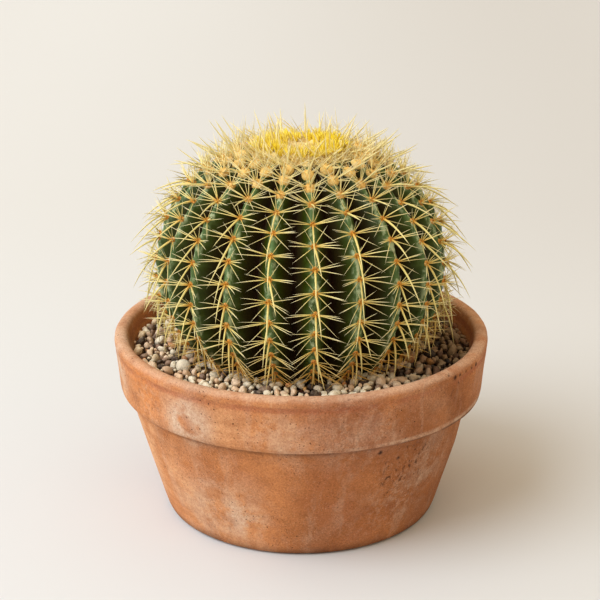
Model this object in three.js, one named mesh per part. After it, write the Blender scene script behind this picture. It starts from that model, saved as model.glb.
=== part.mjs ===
// A round, many-ribbed cactus in a terracotta pot, with potting soil and a gravel top dressing.
// Millimetres, +Z up. The origin is the centre of the pot's underside, on the surface it stands on,
// and -Y is the front.
import * as THREE from "three";

// The pot: a thick thrown body that tapers to its foot, with a tall collar round the rim.
const POT_RADIUS = 130; // over the collar, the widest part
const POT_HEIGHT = 128;
const POT_FOOT_RADIUS = 95;
const FOOT_ROUNDING = 3;
const FOOT_FLARE = 1; // how far the wall leans out over that rounding
const COLLAR_HEIGHT = 38;
const COLLAR_LOW_RADIUS = 126.5; // the collar leans in a little towards its lower edge
const COLLAR_ROUNDING = 1.8;
const SHOULDER_RADIUS = 120.8; // of the body, just under the collar
const LIP_ROUNDING = 3.5;
const INNER_TOP_RADIUS = 119.9;
const INNER_FLOOR_RADIUS = 88;
const FLOOR_THICKNESS = 13;
const DRAIN_RADIUS = 9.5;
const SIDES = 56; // of everything turned

// What fills the pot.
const SOIL_TOP = 104;
const GRAVEL_LEVEL = 114; // between the pebbles
const PEBBLE_ROWS = 5;
const PEBBLES_ROUND = 48;
const PEBBLE_RISE = [2.2, 4.2]; // how far the lowest and the highest pebble stand up
const PEBBLE_PLACE = [0.45, 0.57]; // across its row, as a share of the row's width
const PEBBLE_SIZE = [0.19, 0.27]; // radius of its flat top, as a share of the row's width
const PEBBLE_TURN = 0.25; // radians either way
const PEBBLE_TILT = [-0.5, 0.3]; // of the corners of its top
const SEAM_SWING = [0.1, 0.22]; // of the seams between pebbles, as a share of the row's width
const SEAM_TURN = 0.18; // as a share of a step round the bed
const SEAM_RISE = [-1, 0.5];
const PEBBLE_TO_STEM = 3;
const STEM_OVERHANG = 1.3; // how far the stem leans out over the gravel, per height
const SEAT_GAP = 0.35; // between pieces that rest on each other
const WALL_GAP = 0.6; // between faceted rings of different sides

// The stem: a flattened globe with straight ribs, its crest line a superellipse.
const RIBS = 21;
const FRONT_RIB_DEG = 5.2; // the rib nearest the front, turned from -Y towards +X
const STEM_RADIUS = 99;
const STEM_HALF_HEIGHT = 83;
const STEM_MIDDLE = 175; // height of the widest place
const STEM_POWER = 2.12;
const RIB_DEPTH_SHARE = 0.55; // depth of a furrow, as a share of the distance between two crests
const FURROW_FULL = 0.2; // where the furrows are at full depth, along the crest
const FURROW_FADES = 0.86;
const CREST_HALF_WIDTH = 3.2;
const CREST_MOST = 0.42; // of half the distance between two crests
const STEM_ENTRY = 116; // where the stem goes into the gravel
const CROWN_RIM_RADIUS = 38; // where the ribs end at the woolly crown
const CROWN_SEAT = 250;
const ROOT_SHOULDER_RADIUS = 14;
const ROOT_SHOULDER = 84;
const ROOT_TIP = 60;

// Areoles: the woolly cushions on the crests that the spines grow from.
const AREOLES_PER_RIB = 10;
const AREOLE_STAGGER = 0.57; // of a step up, from one rib to the next, both ways from the front rib
const LOWEST_AREOLE = 0.03; // along the crest, from the gravel at 0 to the crown at 1
const HIGHEST_AREOLE = 0.985;
const AREOLE_WIDTH_SHARE = 0.78; // of the crest
const AREOLE_HALF_LENGTH = 2.7;
const AREOLE_RIM = 0.5;
const AREOLE_TOP = 1.3;

// The spines of one areole. heading 0 points right and 90 up the rib, lift is off the surface.
const LOWER_CENTRAL = { heading: 270, lift: 46, length: 31, droop: 42 };
const RADIALS = [
  { heading: 38, lift: 34, length: 13 },
  { heading: 90, lift: 62, length: 15 },
  { heading: 142, lift: 34, length: 13 },
  { heading: 188, lift: 24, length: 18 },
  { heading: 230, lift: 20, length: 16 },
  LOWER_CENTRAL,
  { heading: 310, lift: 20, length: 16 },
  { heading: 352, lift: 24, length: 18 },
];
const DROOP_AT = 0.45; // the share of its length at which a central spine bends down
const SPINE_ROOT_RADIUS = 1;
const SPINE_BEND_RADIUS = 0.6;
const SPINE_GAP = 0.3;
const PARALLEL = 1e-9;
const TURN_SWAY = 4; // degrees either way, by chance
const LIFT_SWAY = 3;
const LENGTH_SWAY = 0.08;
const STEEPEST_LIFT = 80;
// What is tried in turn, as turn and lift in degrees, when a spine would touch another.
const BENDS = [[0, 0], [0, 7], [0, -7], [5, 0], [-5, 0], [5, 8], [-5, 8], [0, 15], [7, 12], [-7, 12]];
const SHORTEN_STEP = 0.1;
const YOUNG_LIFT = 24; // how much more the youngest spines stand up
const YOUNG_FROM = 0.68;
const TIP_ABOVE_GRAVEL = 5;
const SHORTEST_SHARE = 0.25; // a spine that finds less room than this share of its length is left out

// The woolly crown with its young spines.
const CROWN_RADIUS = 37;
const CROWN_TOP_RADIUS = 36;
const CROWN_SIDES = 42;
const CROWN_EDGE_HEIGHT = 3;
const CROWN_DOME = 3.4;
const CROWN_TUFTS = 56;
const TUFT_RADIUS = 1.25;
const TUFT_FROM_EDGE = 3.75;
const TUFT_SPINES = 4;
const TUFT_RISE = 0.6;
const TUFT_SPREAD_DEG = 14;
const TUFT_SPREAD_LEAST = 2;
const CROWN_LENGTH_SWAY = 0.3;
const CROWN_LEAN_DEG = 40; // of the outermost young spines
const CROWN_SPINE_SHORT = 10;
const CROWN_SPINE_LONG = 34.5;

const rad = THREE.MathUtils.degToRad;
const UP = new THREE.Vector3(0, 0, 1);

/** A repeatable random number from 0 to 1, from a counter. */
function seededRandom(seed) {
  let state = seed;
  return () => {
    state = (state + 0x6d2b79f5) | 0;
    let mixed = Math.imul(state ^ (state >>> 15), 1 | state);
    mixed = (mixed + Math.imul(mixed ^ (mixed >>> 7), 61 | mixed)) ^ mixed;
    return ((mixed ^ (mixed >>> 14)) >>> 0) / 4294967296;
  };
}

/** Collects the faces of one closed body. Corners go anticlockwise, seen from outside. */
class Surface {
  constructor() {
    this.corners = [];
  }

  face(a, b, c) {
    this.corners.push(a, b, c);
  }

  quad(a, b, c, d) {
    this.face(a, b, c);
    this.face(a, c, d);
  }

  /** A band of quads between two closed rings with as many points. The upper ring is given second. */
  band(lower, upper) {
    lower.forEach((point, i) => {
      const next = (i + 1) % lower.length;
      this.quad(point, lower[next], upper[next], upper[i]);
    });
  }

  /** Closes a ring with a point above it. */
  cap(ring, tip) {
    ring.forEach((point, i) => this.face(point, ring[(i + 1) % ring.length], tip));
  }

  /** Closes a ring with a point below it. */
  plug(ring, tip) {
    ring.forEach((point, i) => this.face(ring[(i + 1) % ring.length], point, tip));
  }

  /** Fills an outline that has round holes in it. Each point carries its flat place as .flat. */
  fill(outline, holes) {
    const flat = (ring) => ring.map((point) => point.flat);
    const faces = THREE.ShapeUtils.triangulateShape(flat(outline), holes.map(flat));
    const points = [outline, ...holes].flat();
    faces.forEach(([a, b, c]) => this.face(points[a], points[b], points[c]));
  }

  geometry() {
    const made = new THREE.BufferGeometry().setFromPoints(this.corners);
    made.computeVertexNormals();
    return made;
  }
}

function ringAt(radius, height, angles) {
  return angles.map((angle) =>
    new THREE.Vector3(radius * Math.cos(angle), radius * Math.sin(angle), height));
}

function evenAngles(count) {
  return Array.from({ length: count }, (_, i) => (2 * Math.PI * i) / count);
}

/** Turns a profile of (radius, height) points about the Z axis. */
function turned(profile) {
  return new THREE.LatheGeometry(profile, SIDES).rotateX(Math.PI / 2);
}

function mesh(name, geometry, finish) {
  const made = new THREE.Mesh(geometry, new THREE.MeshStandardMaterial({ metalness: 0, ...finish }));
  made.name = name;
  return made;
}

// ---- The pot and what fills it ----

function innerWallRadius(height) {
  return THREE.MathUtils.mapLinear(
    height, FLOOR_THICKNESS, POT_HEIGHT - LIP_ROUNDING, INNER_FLOOR_RADIUS, INNER_TOP_RADIUS);
}

function pot() {
  const collarLow = POT_HEIGHT - COLLAR_HEIGHT;
  const lipLow = POT_HEIGHT - LIP_ROUNDING;
  const profile = new THREE.Path();
  profile.moveTo(DRAIN_RADIUS, 0);
  profile.lineTo(POT_FOOT_RADIUS - FOOT_ROUNDING, 0);
  profile.quadraticCurveTo(POT_FOOT_RADIUS, 0, POT_FOOT_RADIUS + FOOT_FLARE, FOOT_ROUNDING);
  profile.lineTo(SHOULDER_RADIUS, collarLow);
  profile.lineTo(COLLAR_LOW_RADIUS - COLLAR_ROUNDING, collarLow);
  profile.lineTo(COLLAR_LOW_RADIUS, collarLow + COLLAR_ROUNDING);
  profile.lineTo(POT_RADIUS, lipLow);
  profile.quadraticCurveTo(POT_RADIUS, POT_HEIGHT, POT_RADIUS - LIP_ROUNDING, POT_HEIGHT);
  profile.lineTo(INNER_TOP_RADIUS + LIP_ROUNDING, POT_HEIGHT);
  profile.quadraticCurveTo(INNER_TOP_RADIUS, POT_HEIGHT, INNER_TOP_RADIUS, lipLow);
  profile.lineTo(INNER_FLOOR_RADIUS, FLOOR_THICKNESS);
  profile.lineTo(DRAIN_RADIUS, FLOOR_THICKNESS);
  profile.lineTo(DRAIN_RADIUS, 0);
  return turned(profile.getPoints(2));
}

/** The radius of the plain hole for the stem's buried foot, in the gravel. */
function stemHoleRadius(height) {
  const foot = crestRadius(SOIL_TOP);
  return WALL_GAP + THREE.MathUtils.mapLinear(
    height, SOIL_TOP, STEM_ENTRY, foot, crestRadius(STEM_ENTRY));
}

function pottingSoil() {
  const low = FLOOR_THICKNESS + SEAT_GAP;
  const profile = [
    [0, low],
    [innerWallRadius(low) - WALL_GAP, low],
    [innerWallRadius(SOIL_TOP) - WALL_GAP, SOIL_TOP],
    [stemHoleRadius(SOIL_TOP), SOIL_TOP],
    [ROOT_SHOULDER_RADIUS + WALL_GAP, ROOT_SHOULDER - SEAT_GAP],
    [0, ROOT_TIP - 2 * SEAT_GAP],
  ];
  return turned(profile.map(([radius, height]) => new THREE.Vector2(radius, height)));
}

/** A bed whose top is raised, cell by cell, into rows of staggered pebbles. */
function gravel() {
  const random = seededRandom(7);
  const between = ([low, high]) => THREE.MathUtils.lerp(low, high, random());
  const bed = new Surface();
  const steps = 2 * PEBBLES_ROUND;
  const angles = evenAngles(steps);
  const inner = stemHoleRadius(GRAVEL_LEVEL);
  const outer = innerWallRadius(GRAVEL_LEVEL) - WALL_GAP;
  const rowWidth = (outer - inner) / PEBBLE_ROWS;

  const rings = Array.from({ length: PEBBLE_ROWS + 1 }, (_, row) => {
    const edge = row === 0 || row === PEBBLE_ROWS;
    return angles.map((angle, i) => {
      const outward = (i + row) % 2 ? 1 : -1;
      const radius = inner + row * rowWidth + (edge ? 0 : outward * rowWidth * between(SEAM_SWING));
      const turn = edge ? 0 : SEAM_TURN * between([-1, 1]) * angles[1];
      const height = GRAVEL_LEVEL + (edge ? 0 : between(SEAM_RISE));
      return ringAt(radius, height, [angle + turn])[0];
    });
  });

  for (let row = 0; row < PEBBLE_ROWS; row += 1) {
    for (let pebble = 0; pebble < PEBBLES_ROUND; pebble += 1) {
      const middle = 2 * pebble + ((row + 1) % 2);
      const around = [-1, 0, 1].map((step) => (middle + step + steps) % steps);
      const near = around.map((i) => rings[row][i]);
      const far = around.map((i) => rings[row + 1][i]);
      const radius = inner + (row + between(PEBBLE_PLACE)) * rowWidth;
      const fromStem = radius - crestRadius(STEM_ENTRY) - PEBBLE_TO_STEM;
      const highest = STEM_ENTRY + fromStem / STEM_OVERHANG;
      const height = Math.min(GRAVEL_LEVEL + between(PEBBLE_RISE), highest);
      const centre = ringAt(radius, height, [angles[middle]])[0];
      const size = between(PEBBLE_SIZE) * rowWidth;
      const turn = PEBBLE_TURN * between([-1, 1]) + angles[middle];
      const tops = [0, 120, 240].map((corner) =>
        centre.clone().add(ringAt(size, between(PEBBLE_TILT), [rad(corner) + turn])[0]));
      const outline = [far[1], far[2], near[2], near[1], near[0], far[0]];
      bed.face(...tops);
      tops.forEach((top, i) => {
        const corner = 2 * i;
        bed.face(outline.at(corner - 1), outline[corner], top);
        bed.face(outline[corner], outline[corner + 1], top);
        bed.face(outline[corner + 1], tops[(i + 1) % 3], top);
      });
    }
  }

  const low = SOIL_TOP + SEAT_GAP;
  const wallFoot = ringAt(innerWallRadius(low) - WALL_GAP, low, angles);
  const holeFoot = ringAt(stemHoleRadius(low), low, angles);
  bed.band(wallFoot, rings[PEBBLE_ROWS]);
  bed.band(rings[0], holeFoot);
  bed.band(holeFoot, wallFoot);
  return bed.geometry();
}

// ---- The cactus ----

function crestRadius(height) {
  const level = Math.abs(height - STEM_MIDDLE) / STEM_HALF_HEIGHT;
  return STEM_RADIUS * (1 - level ** STEM_POWER) ** (1 / STEM_POWER);
}

/** The crest line of a rib as (radius, height), from the gravel to the crown. */
class CrestLine extends THREE.Curve {
  constructor() {
    super();
    const entry = (STEM_MIDDLE - STEM_ENTRY) / STEM_HALF_HEIGHT;
    this.low = -Math.asin(entry ** (STEM_POWER / 2));
    this.high = Math.acos((CROWN_RIM_RADIUS / STEM_RADIUS) ** (STEM_POWER / 2));
  }

  getPoint(share) {
    const turn = THREE.MathUtils.lerp(this.low, this.high, share);
    const height = Math.sign(turn) * Math.abs(Math.sin(turn)) ** (2 / STEM_POWER);
    const radius = Math.cos(turn) ** (2 / STEM_POWER);
    return new THREE.Vector2(STEM_RADIUS * radius, STEM_MIDDLE + STEM_HALF_HEIGHT * height);
  }
}

const crestLine = new CrestLine();
const ribPitch = (2 * Math.PI) / RIBS;

/** Depth of the furrows beside a crest. They fade out in the gravel and at the crown. */
function furrowDepth(along, radius) {
  const fade = THREE.MathUtils.smoothstep(along, 0, FURROW_FULL)
    * (1 - THREE.MathUtils.smoothstep(along, FURROW_FADES, 1));
  return RIB_DEPTH_SHARE * ribPitch * radius * fade;
}

/** A place on the crest line of the rib at an angle, with the directions of the surface there. */
function crestPlace(along, angle) {
  const at = crestLine.getPointAt(along);
  const rise = crestLine.getTangentAt(along);
  const outward = new THREE.Vector3(Math.cos(angle), Math.sin(angle), 0);
  const place = outward.clone().multiplyScalar(at.x).addScaledVector(UP, at.y);
  const up = outward.clone().multiplyScalar(rise.x).addScaledVector(UP, rise.y);
  const out = outward.clone().multiplyScalar(rise.y).addScaledVector(UP, -rise.x);
  const right = new THREE.Vector3().crossVectors(up, out);
  return { place, up, out, right, radius: at.x };
}

function furrowPoint(along, angle) {
  const { place, out, radius } = crestPlace(along, angle);
  return place.addScaledVector(out, -furrowDepth(along, radius));
}

function crestHalfWidth(radius) {
  return Math.min(CREST_HALF_WIDTH, CREST_MOST * radius * Math.sin(ribPitch / 2));
}

function crestEdgePoint(along, angle, side) {
  const radius = crestLine.getPointAt(along).x;
  return crestPlace(along, angle + side * Math.asin(crestHalfWidth(radius) / radius)).place;
}

/** How far the areoles of a rib are shifted up it, as a share of a step. */
function ribStagger(rib) {
  const fromFront = Math.min(rib, RIBS - rib);
  return (AREOLE_STAGGER * fromFront) % 1;
}

/** The heights along a rib at which its cells end: the gravel, between the areoles, the crown. */
function cellEnds(stagger) {
  const step = (HIGHEST_AREOLE - LOWEST_AREOLE) / (AREOLES_PER_RIB + 1);
  const ends = Array.from({ length: AREOLES_PER_RIB + 1 }, (_, i) => (i + stagger) * step);
  return [0, ...ends.map((end) => LOWEST_AREOLE + end), 1];
}

/** Distance between two stretches of spine, less their thickness there. */
function clearance(a, b) {
  const alongA = a.end.clone().sub(a.start);
  const alongB = b.end.clone().sub(b.start);
  const apart = a.start.clone().sub(b.start);
  const aa = alongA.lengthSq();
  const bb = alongB.lengthSq();
  const ab = alongA.dot(alongB);
  const slant = aa * bb - ab * ab; // 0 where they are parallel
  const clamp = (value) => THREE.MathUtils.clamp(value, 0, 1);
  let onA = slant > PARALLEL ? clamp((ab * alongB.dot(apart) - bb * alongA.dot(apart)) / slant) : 0;
  const onB = clamp((ab * onA + alongB.dot(apart)) / bb);
  onA = clamp((ab * onB - alongA.dot(apart)) / aa);
  const nearA = a.start.clone().addScaledVector(alongA, onA);
  const nearB = b.start.clone().addScaledVector(alongB, onB);
  const radiusA = THREE.MathUtils.lerp(a.thick, a.thin, onA);
  const radiusB = THREE.MathUtils.lerp(b.thick, b.thin, onB);
  return nearA.distanceTo(nearB) - radiusA - radiusB;
}

/** The way a spine goes from its areole: its root, the bend of a central spine, and its tip. */
function spineWay(areole, spine, turn, lift, length) {
  const direction = (heading, rise) => areole.out.clone().multiplyScalar(Math.sin(rad(rise)))
    .addScaledVector(areole.right, Math.cos(rad(rise)) * Math.cos(rad(heading)))
    .addScaledVector(areole.up, Math.cos(rad(rise)) * Math.sin(rad(heading)));
  const heading = spine.heading + turn;
  const first = spine.droop ? DROOP_AT * length : length;
  const way = [areole.place.clone()];
  way.push(way[0].clone().addScaledVector(direction(heading, lift), first));
  if (spine.droop) {
    way.push(way[1].clone().addScaledVector(direction(heading, lift - spine.droop), length - first));
  }
  return way;
}

function stretches(way) {
  const thick = [SPINE_ROOT_RADIUS, ...(way.length > 2 ? [SPINE_BEND_RADIUS] : []), 0];
  return way.slice(1).map((end, i) => ({ start: way[i], end, thick: thick[i], thin: thick[i + 1] }));
}

/** Keeps a spine if it is above the gravel and clear of what has grown on the other roots near it. */
function takeWay(way, root, near, grown) {
  const parts = stretches(way);
  const clear = way.at(-1).z > GRAVEL_LEVEL + TIP_ABOVE_GRAVEL
    && parts.every((part) => near.every((other) => clearance(part, other) > SPINE_GAP));
  if (clear) parts.forEach((part) => grown.push({ ...part, root }));
  return clear;
}

function grownNear(root, place, grown) {
  const reach = 2 * LOWER_CENTRAL.length;
  return grown.filter((other) => other.root !== root && other.start.distanceTo(place) < reach);
}

/** Lays a spine out, and bends or shortens it until it is clear. */
function clearWay(areole, spine, grown, random) {
  const sway = (most) => most * (2 * random() - 1);
  const young = THREE.MathUtils.smoothstep(areole.along, YOUNG_FROM, 1);
  const lift = Math.min(STEEPEST_LIFT, spine.lift + YOUNG_LIFT * young) + sway(LIFT_SWAY);
  const droop = spine.droop ? { ...spine, droop: spine.droop * (1 - young) } : spine;
  const turn = sway(TURN_SWAY);
  const length = spine.length * (1 + sway(LENGTH_SWAY));
  const near = grownNear(areole, areole.place, grown);
  for (let share = 1; share > SHORTEST_SHARE; share -= SHORTEN_STEP) {
    for (const [aside, rise] of BENDS) {
      const way = spineWay(areole, droop, turn + aside, lift + rise, length * share);
      if (takeWay(way, areole, near, grown)) return way;
    }
  }
  return null;
}

/** A three-sided spine on one sector of a cushion, round a bend where it has one. */
function growSpine(body, base, way, side) {
  let section = base;
  way.slice(1, -1).forEach((bend, i) => {
    const along = way[i + 2].clone().sub(way[i]).normalize();
    const across = side.clone().addScaledVector(along, -side.dot(along)).normalize();
    const outer = new THREE.Vector3().crossVectors(along, across);
    const next = [0, -120, 120].map((turn) => bend.clone()
      .addScaledVector(outer, SPINE_BEND_RADIUS * Math.cos(rad(turn)))
      .addScaledVector(across, SPINE_BEND_RADIUS * Math.sin(rad(turn))));
    body.band(section, next);
    section = next;
  });
  body.cap(section, way.at(-1));
}

/** A woolly cushion in its cell of the crest, with a spine on each sector of it. */
function growAreole(body, corners, areole, grown, random) {
  const flatAt = (x, y) => new THREE.Vector2(x, y);
  const { place, right, up, out } = areole;
  corners.forEach((corner) => {
    const from = corner.clone().sub(place);
    corner.flat = flatAt(from.dot(right), from.dot(up));
  });
  const halfWidth = AREOLE_WIDTH_SHARE * crestHalfWidth(areole.radius);
  const rim = RADIALS.map((spine, i) => {
    const before = RADIALS.at(i - 1).heading - (i === 0 ? 360 : 0);
    const split = rad((spine.heading + before) / 2);
    const [x, y] = [halfWidth * Math.cos(split), AREOLE_HALF_LENGTH * Math.sin(split)];
    const point = place.clone().addScaledVector(right, x).addScaledVector(up, y);
    point.addScaledVector(out, AREOLE_RIM);
    point.flat = flatAt(x, y);
    return point;
  });
  body.fill(corners, [rim]);
  const top = place.clone().addScaledVector(out, AREOLE_TOP);
  RADIALS.forEach((spine, i) => {
    const sector = [top, rim[i], rim[(i + 1) % rim.length]];
    const way = clearWay(areole, spine, grown, random);
    if (way) growSpine(body, sector, way, right);
    else body.face(...sector);
  });
}

function cactus() {
  const random = seededRandom(21);
  const body = new Surface();
  const grown = [];
  const entryRing = [];
  const crownRing = [];
  const front = rad(FRONT_RIB_DEG) - Math.PI / 2;

  for (let rib = 0; rib < RIBS; rib += 1) {
    const angle = front + rib * ribPitch;
    const ends = cellEnds(ribStagger(rib));
    const [before, after] = [-1, 1].map((step) => {
      const beside = cellEnds(ribStagger((rib + step + RIBS) % RIBS));
      return beside.map((end, i) => furrowPoint((end + ends[i]) / 2, angle + (step * ribPitch) / 2));
    });
    const left = ends.map((end) => crestEdgePoint(end, angle, -1));
    const right = ends.map((end) => crestEdgePoint(end, angle, 1));

    for (let cell = 0; cell + 1 < ends.length; cell += 1) {
      const upper = cell + 1;
      body.quad(before[cell], left[cell], left[upper], before[upper]);
      body.quad(right[cell], after[cell], after[upper], right[upper]);
      const corners = [left[cell], right[cell], right[upper], left[upper]];
      const bare = cell === 0 || upper === ends.length - 1;
      if (bare) {
        body.quad(...corners);
      } else {
        const along = (ends[cell] + ends[upper]) / 2;
        growAreole(body, corners, { along, ...crestPlace(along, angle) }, grown, random);
      }
    }
    entryRing.push(left[0], right[0], after[0]);
    crownRing.push(left.at(-1), right.at(-1), after.at(-1));
  }

  const angles = entryRing.map((point) => Math.atan2(point.y, point.x));
  const foot = ringAt(crestRadius(SOIL_TOP), SOIL_TOP, angles);
  const rootShoulder = ringAt(ROOT_SHOULDER_RADIUS, ROOT_SHOULDER, angles);
  body.band(foot, entryRing);
  body.band(rootShoulder, foot);
  body.plug(rootShoulder, UP.clone().multiplyScalar(ROOT_TIP));
  const crownAngles = crownRing.map((point) => Math.atan2(point.y, point.x));
  const seat = ringAt(CROWN_RIM_RADIUS - SEAT_GAP, CROWN_SEAT, crownAngles);
  body.band(crownRing, seat);
  body.cap(seat, UP.clone().multiplyScalar(CROWN_SEAT));
  return body.geometry();
}

// ---- The woolly crown ----

function crownHeight(radius) {
  const dome = CROWN_DOME * Math.cos((Math.PI / 2) * (radius / CROWN_RADIUS) ** 3);
  return CROWN_SEAT + CROWN_EDGE_HEIGHT + dome;
}

/** A low pad of wool with tufts of young spines in a sunflower spiral. */
function crownWool() {
  const random = seededRandom(5);
  const pad = new Surface();
  const onPad = (x, y) => {
    const point = new THREE.Vector3(x, y, crownHeight(Math.hypot(x, y)));
    point.flat = new THREE.Vector2(x, y);
    return point;
  };
  const goldenAngle = Math.PI * (3 - Math.sqrt(5));
  const tufts = Array.from({ length: CROWN_TUFTS }, (_, i) => {
    const radius = (CROWN_TOP_RADIUS - TUFT_FROM_EDGE) * Math.sqrt((i + 0.5) / CROWN_TUFTS);
    const angle = i * goldenAngle;
    const [x, y] = [radius * Math.cos(angle), radius * Math.sin(angle)];
    const rim = evenAngles(TUFT_SPINES).map((turn) =>
      onPad(x + TUFT_RADIUS * Math.cos(turn + angle), y + TUFT_RADIUS * Math.sin(turn + angle)));
    return { radius, angle, rim, top: onPad(x, y).addScaledVector(UP, TUFT_RISE) };
  });
  const edge = evenAngles(CROWN_SIDES).map((angle) =>
    onPad(CROWN_TOP_RADIUS * Math.cos(angle), CROWN_TOP_RADIUS * Math.sin(angle)));
  pad.fill(edge, tufts.map((tuft) => tuft.rim));

  const grown = [];
  tufts.forEach((tuft) => {
    const { radius, angle, rim, top } = tuft;
    const share = radius / CROWN_TOP_RADIUS;
    const lean = Math.tan(rad(CROWN_LEAN_DEG) * share);
    const near = grownNear(tuft, top, grown);
    rim.forEach((point, i) => {
      const heading = angle + ((i + 0.5) * 2 * Math.PI) / TUFT_SPINES;
      const outer = share * (1 - CROWN_LENGTH_SWAY * random());
      const length = THREE.MathUtils.lerp(CROWN_SPINE_SHORT, CROWN_SPINE_LONG, outer);
      const sector = [top, point, rim[(i + 1) % rim.length]];
      for (let spread = TUFT_SPREAD_DEG; spread > TUFT_SPREAD_LEAST; spread -= TUFT_SPREAD_LEAST) {
        const [apart, outward] = ringAt(1, 0, [heading, angle]);
        const way = UP.clone().addScaledVector(apart, Math.tan(rad(spread)));
        const tip = top.clone().add(way.addScaledVector(outward, lean).setLength(length));
        if (takeWay([top, tip], tuft, near, grown)) {
          pad.cap(sector, tip);
          return;
        }
      }
      pad.face(...sector);
    });
  });

  const angles = evenAngles(CROWN_SIDES);
  const low = CROWN_SEAT + SEAT_GAP;
  const skirt = ringAt(CROWN_RADIUS, low, angles);
  pad.band(skirt, edge);
  pad.plug(skirt, UP.clone().multiplyScalar(low));
  return pad.geometry();
}

const plant = new THREE.Group();
plant.add(mesh("cactus", cactus(), { color: 0x2f5a34, roughness: 0.55 }));
plant.add(mesh("crown_wool", crownWool(), { color: 0xd9b866, roughness: 0.95 }));

const filling = new THREE.Group();
filling.add(mesh("potting_soil", pottingSoil(), { color: 0x3b2c21, roughness: 1 }));
filling.add(mesh("gravel", gravel(), { color: 0x9a8d7e, roughness: 0.85 }));

const pottedCactus = new THREE.Group();
pottedCactus.add(mesh("pot", pot(), { color: 0xc2764a, roughness: 0.85 }));
pottedCactus.add(filling, plant);

export default pottedCactus;
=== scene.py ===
# %% [markdown]
# # A potted round cactus, from its frame to its looks
#
# The CAD model comes in as a frame that fixes every size: a pot 260 mm across, soil, a gravel bed, a ribbed
# stem with spines, and a woolly crown. Here each of them gets the fine shape and the finish of the real
# thing. Everything is in metres, with +Z up and -Y to the front, and each piece is made where it stands, so
# that nothing has to be moved into place afterwards.

# %% Load the frame
import math
import random

import bpy
import numpy as np
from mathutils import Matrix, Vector, noise


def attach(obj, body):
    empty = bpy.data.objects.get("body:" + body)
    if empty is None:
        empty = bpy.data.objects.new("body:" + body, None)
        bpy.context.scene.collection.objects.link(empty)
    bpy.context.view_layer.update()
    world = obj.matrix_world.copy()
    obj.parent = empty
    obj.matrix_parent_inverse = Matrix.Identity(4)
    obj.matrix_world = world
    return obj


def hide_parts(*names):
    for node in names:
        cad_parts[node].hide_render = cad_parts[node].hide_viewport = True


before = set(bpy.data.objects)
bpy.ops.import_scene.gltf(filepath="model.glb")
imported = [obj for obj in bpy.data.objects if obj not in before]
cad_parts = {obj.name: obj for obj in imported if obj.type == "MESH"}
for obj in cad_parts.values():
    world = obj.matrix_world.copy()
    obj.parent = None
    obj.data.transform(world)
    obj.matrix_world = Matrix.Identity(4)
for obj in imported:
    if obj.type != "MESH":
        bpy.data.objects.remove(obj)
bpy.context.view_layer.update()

MM = 0.001
print("nodes of the frame:", sorted(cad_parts))

# %% [markdown]
# ## The camera
#
# A camera could be placed by eye until the picture fits. It is better to work it out once: the rim of the pot
# is a true circle, so the shape of its ellipse gives how far the camera looks down, and the taper of the pot
# gives how near it stands. That gave a long lens, a metre away, looking down by 20 degrees.

# %% Set up the camera
CAMERA_PLACE = (-0.8 * MM, -1040 * MM, 524.8 * MM)
CAMERA_PITCH_DEG = 19.97
CAMERA_LENS_MM = 95.76
CAMERA_SENSOR_MM = 36

camera = bpy.data.objects.new("camera", bpy.data.cameras.new("camera"))
camera.location = CAMERA_PLACE
camera.rotation_euler = (math.radians(90 - CAMERA_PITCH_DEG), 0, 0)
camera.data.lens = CAMERA_LENS_MM
camera.data.sensor_width = CAMERA_SENSOR_MM
bpy.context.scene.collection.objects.link(camera)
bpy.context.scene.camera = camera
print("camera at", tuple(round(v, 3) for v in CAMERA_PLACE))

# %% [markdown]
# ## Small helpers
#
# Operators act on whatever is selected, so each step starts by letting go of everything. A colour is easiest
# to judge as the eye sees it, from 0 to 255, while a shader works with linear light: `paint` goes between
# them. `add` puts one node beside those that feed it and wires it. The helpers after it give plain names to
# the nodes that are used most, so that a finish can be read from top to bottom.

# %% Helpers for objects, colours and nodes
def nothing_selected():
    if bpy.context.object and bpy.context.object.mode != "OBJECT":
        bpy.ops.object.mode_set(mode="OBJECT")
    bpy.ops.object.select_all(action="DESELECT")


def paint(red, green, blue):
    """A colour as the eye sees it, 0 to 255, turned into the linear light of a shader."""
    linear = [((c / 255 + 0.055) / 1.055) ** 2.4 if c > 10 else c / 255 / 12.92 for c in (red, green, blue)]
    return (*linear, 1.0)


def is_socket(value):
    return isinstance(value, bpy.types.NodeSocket)


def wire(source, target):
    source.id_data.links.new(source, target)


def add(kind, settings=None, inputs=None, out=0, tree=None):
    """Adds a node to the tree that its inputs come from, sets and wires it, and returns an output."""
    inputs = inputs or {}
    if tree is None:
        tree = next(value for value in inputs.values() if is_socket(value)).id_data
    made = tree.nodes.new("ShaderNode" + kind)
    for name, value in (settings or {}).items():
        setattr(made, name, value)
    for name, value in inputs.items():
        if is_socket(value):
            wire(value, made.inputs[name])
        else:
            made.inputs[name].default_value = value
    return made.outputs[out]


def blend(share, first, second, kind="MIX"):
    """Goes from the first colour to the second by a mask."""
    return add("Mix", {"data_type": "RGBA", "blend_type": kind}, {0: share, 6: first, 7: second}, 2)


def reckon(operation, first, second, clamp=False):
    return add("Math", {"operation": operation, "use_clamp": clamp}, {0: first, 1: second})


def times(first, second):
    return reckon("MULTIPLY", first, second)


def plus(first, second):
    return reckon("ADD", first, second, clamp=True)


def between(value, low, high, low_out=0.0, high_out=1.0):
    """A soft step: low_out up to low, high_out from high on."""
    inputs = {0: value, 1: low, 2: high, 3: low_out, 4: high_out}
    return add("MapRange", {"interpolation_type": "SMOOTHSTEP"}, inputs)


def along_axis(place, axis):
    """How far a place is along X, Y or Z, in metres."""
    return add("SeparateXYZ", None, {0: place}, axis)


def noise_at(place, scale, detail, roughness=0.5, out=0):
    inputs = {"Vector": place, "Scale": scale, "Detail": detail, "Roughness": roughness}
    return add("TexNoise", None, inputs, out)


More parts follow.
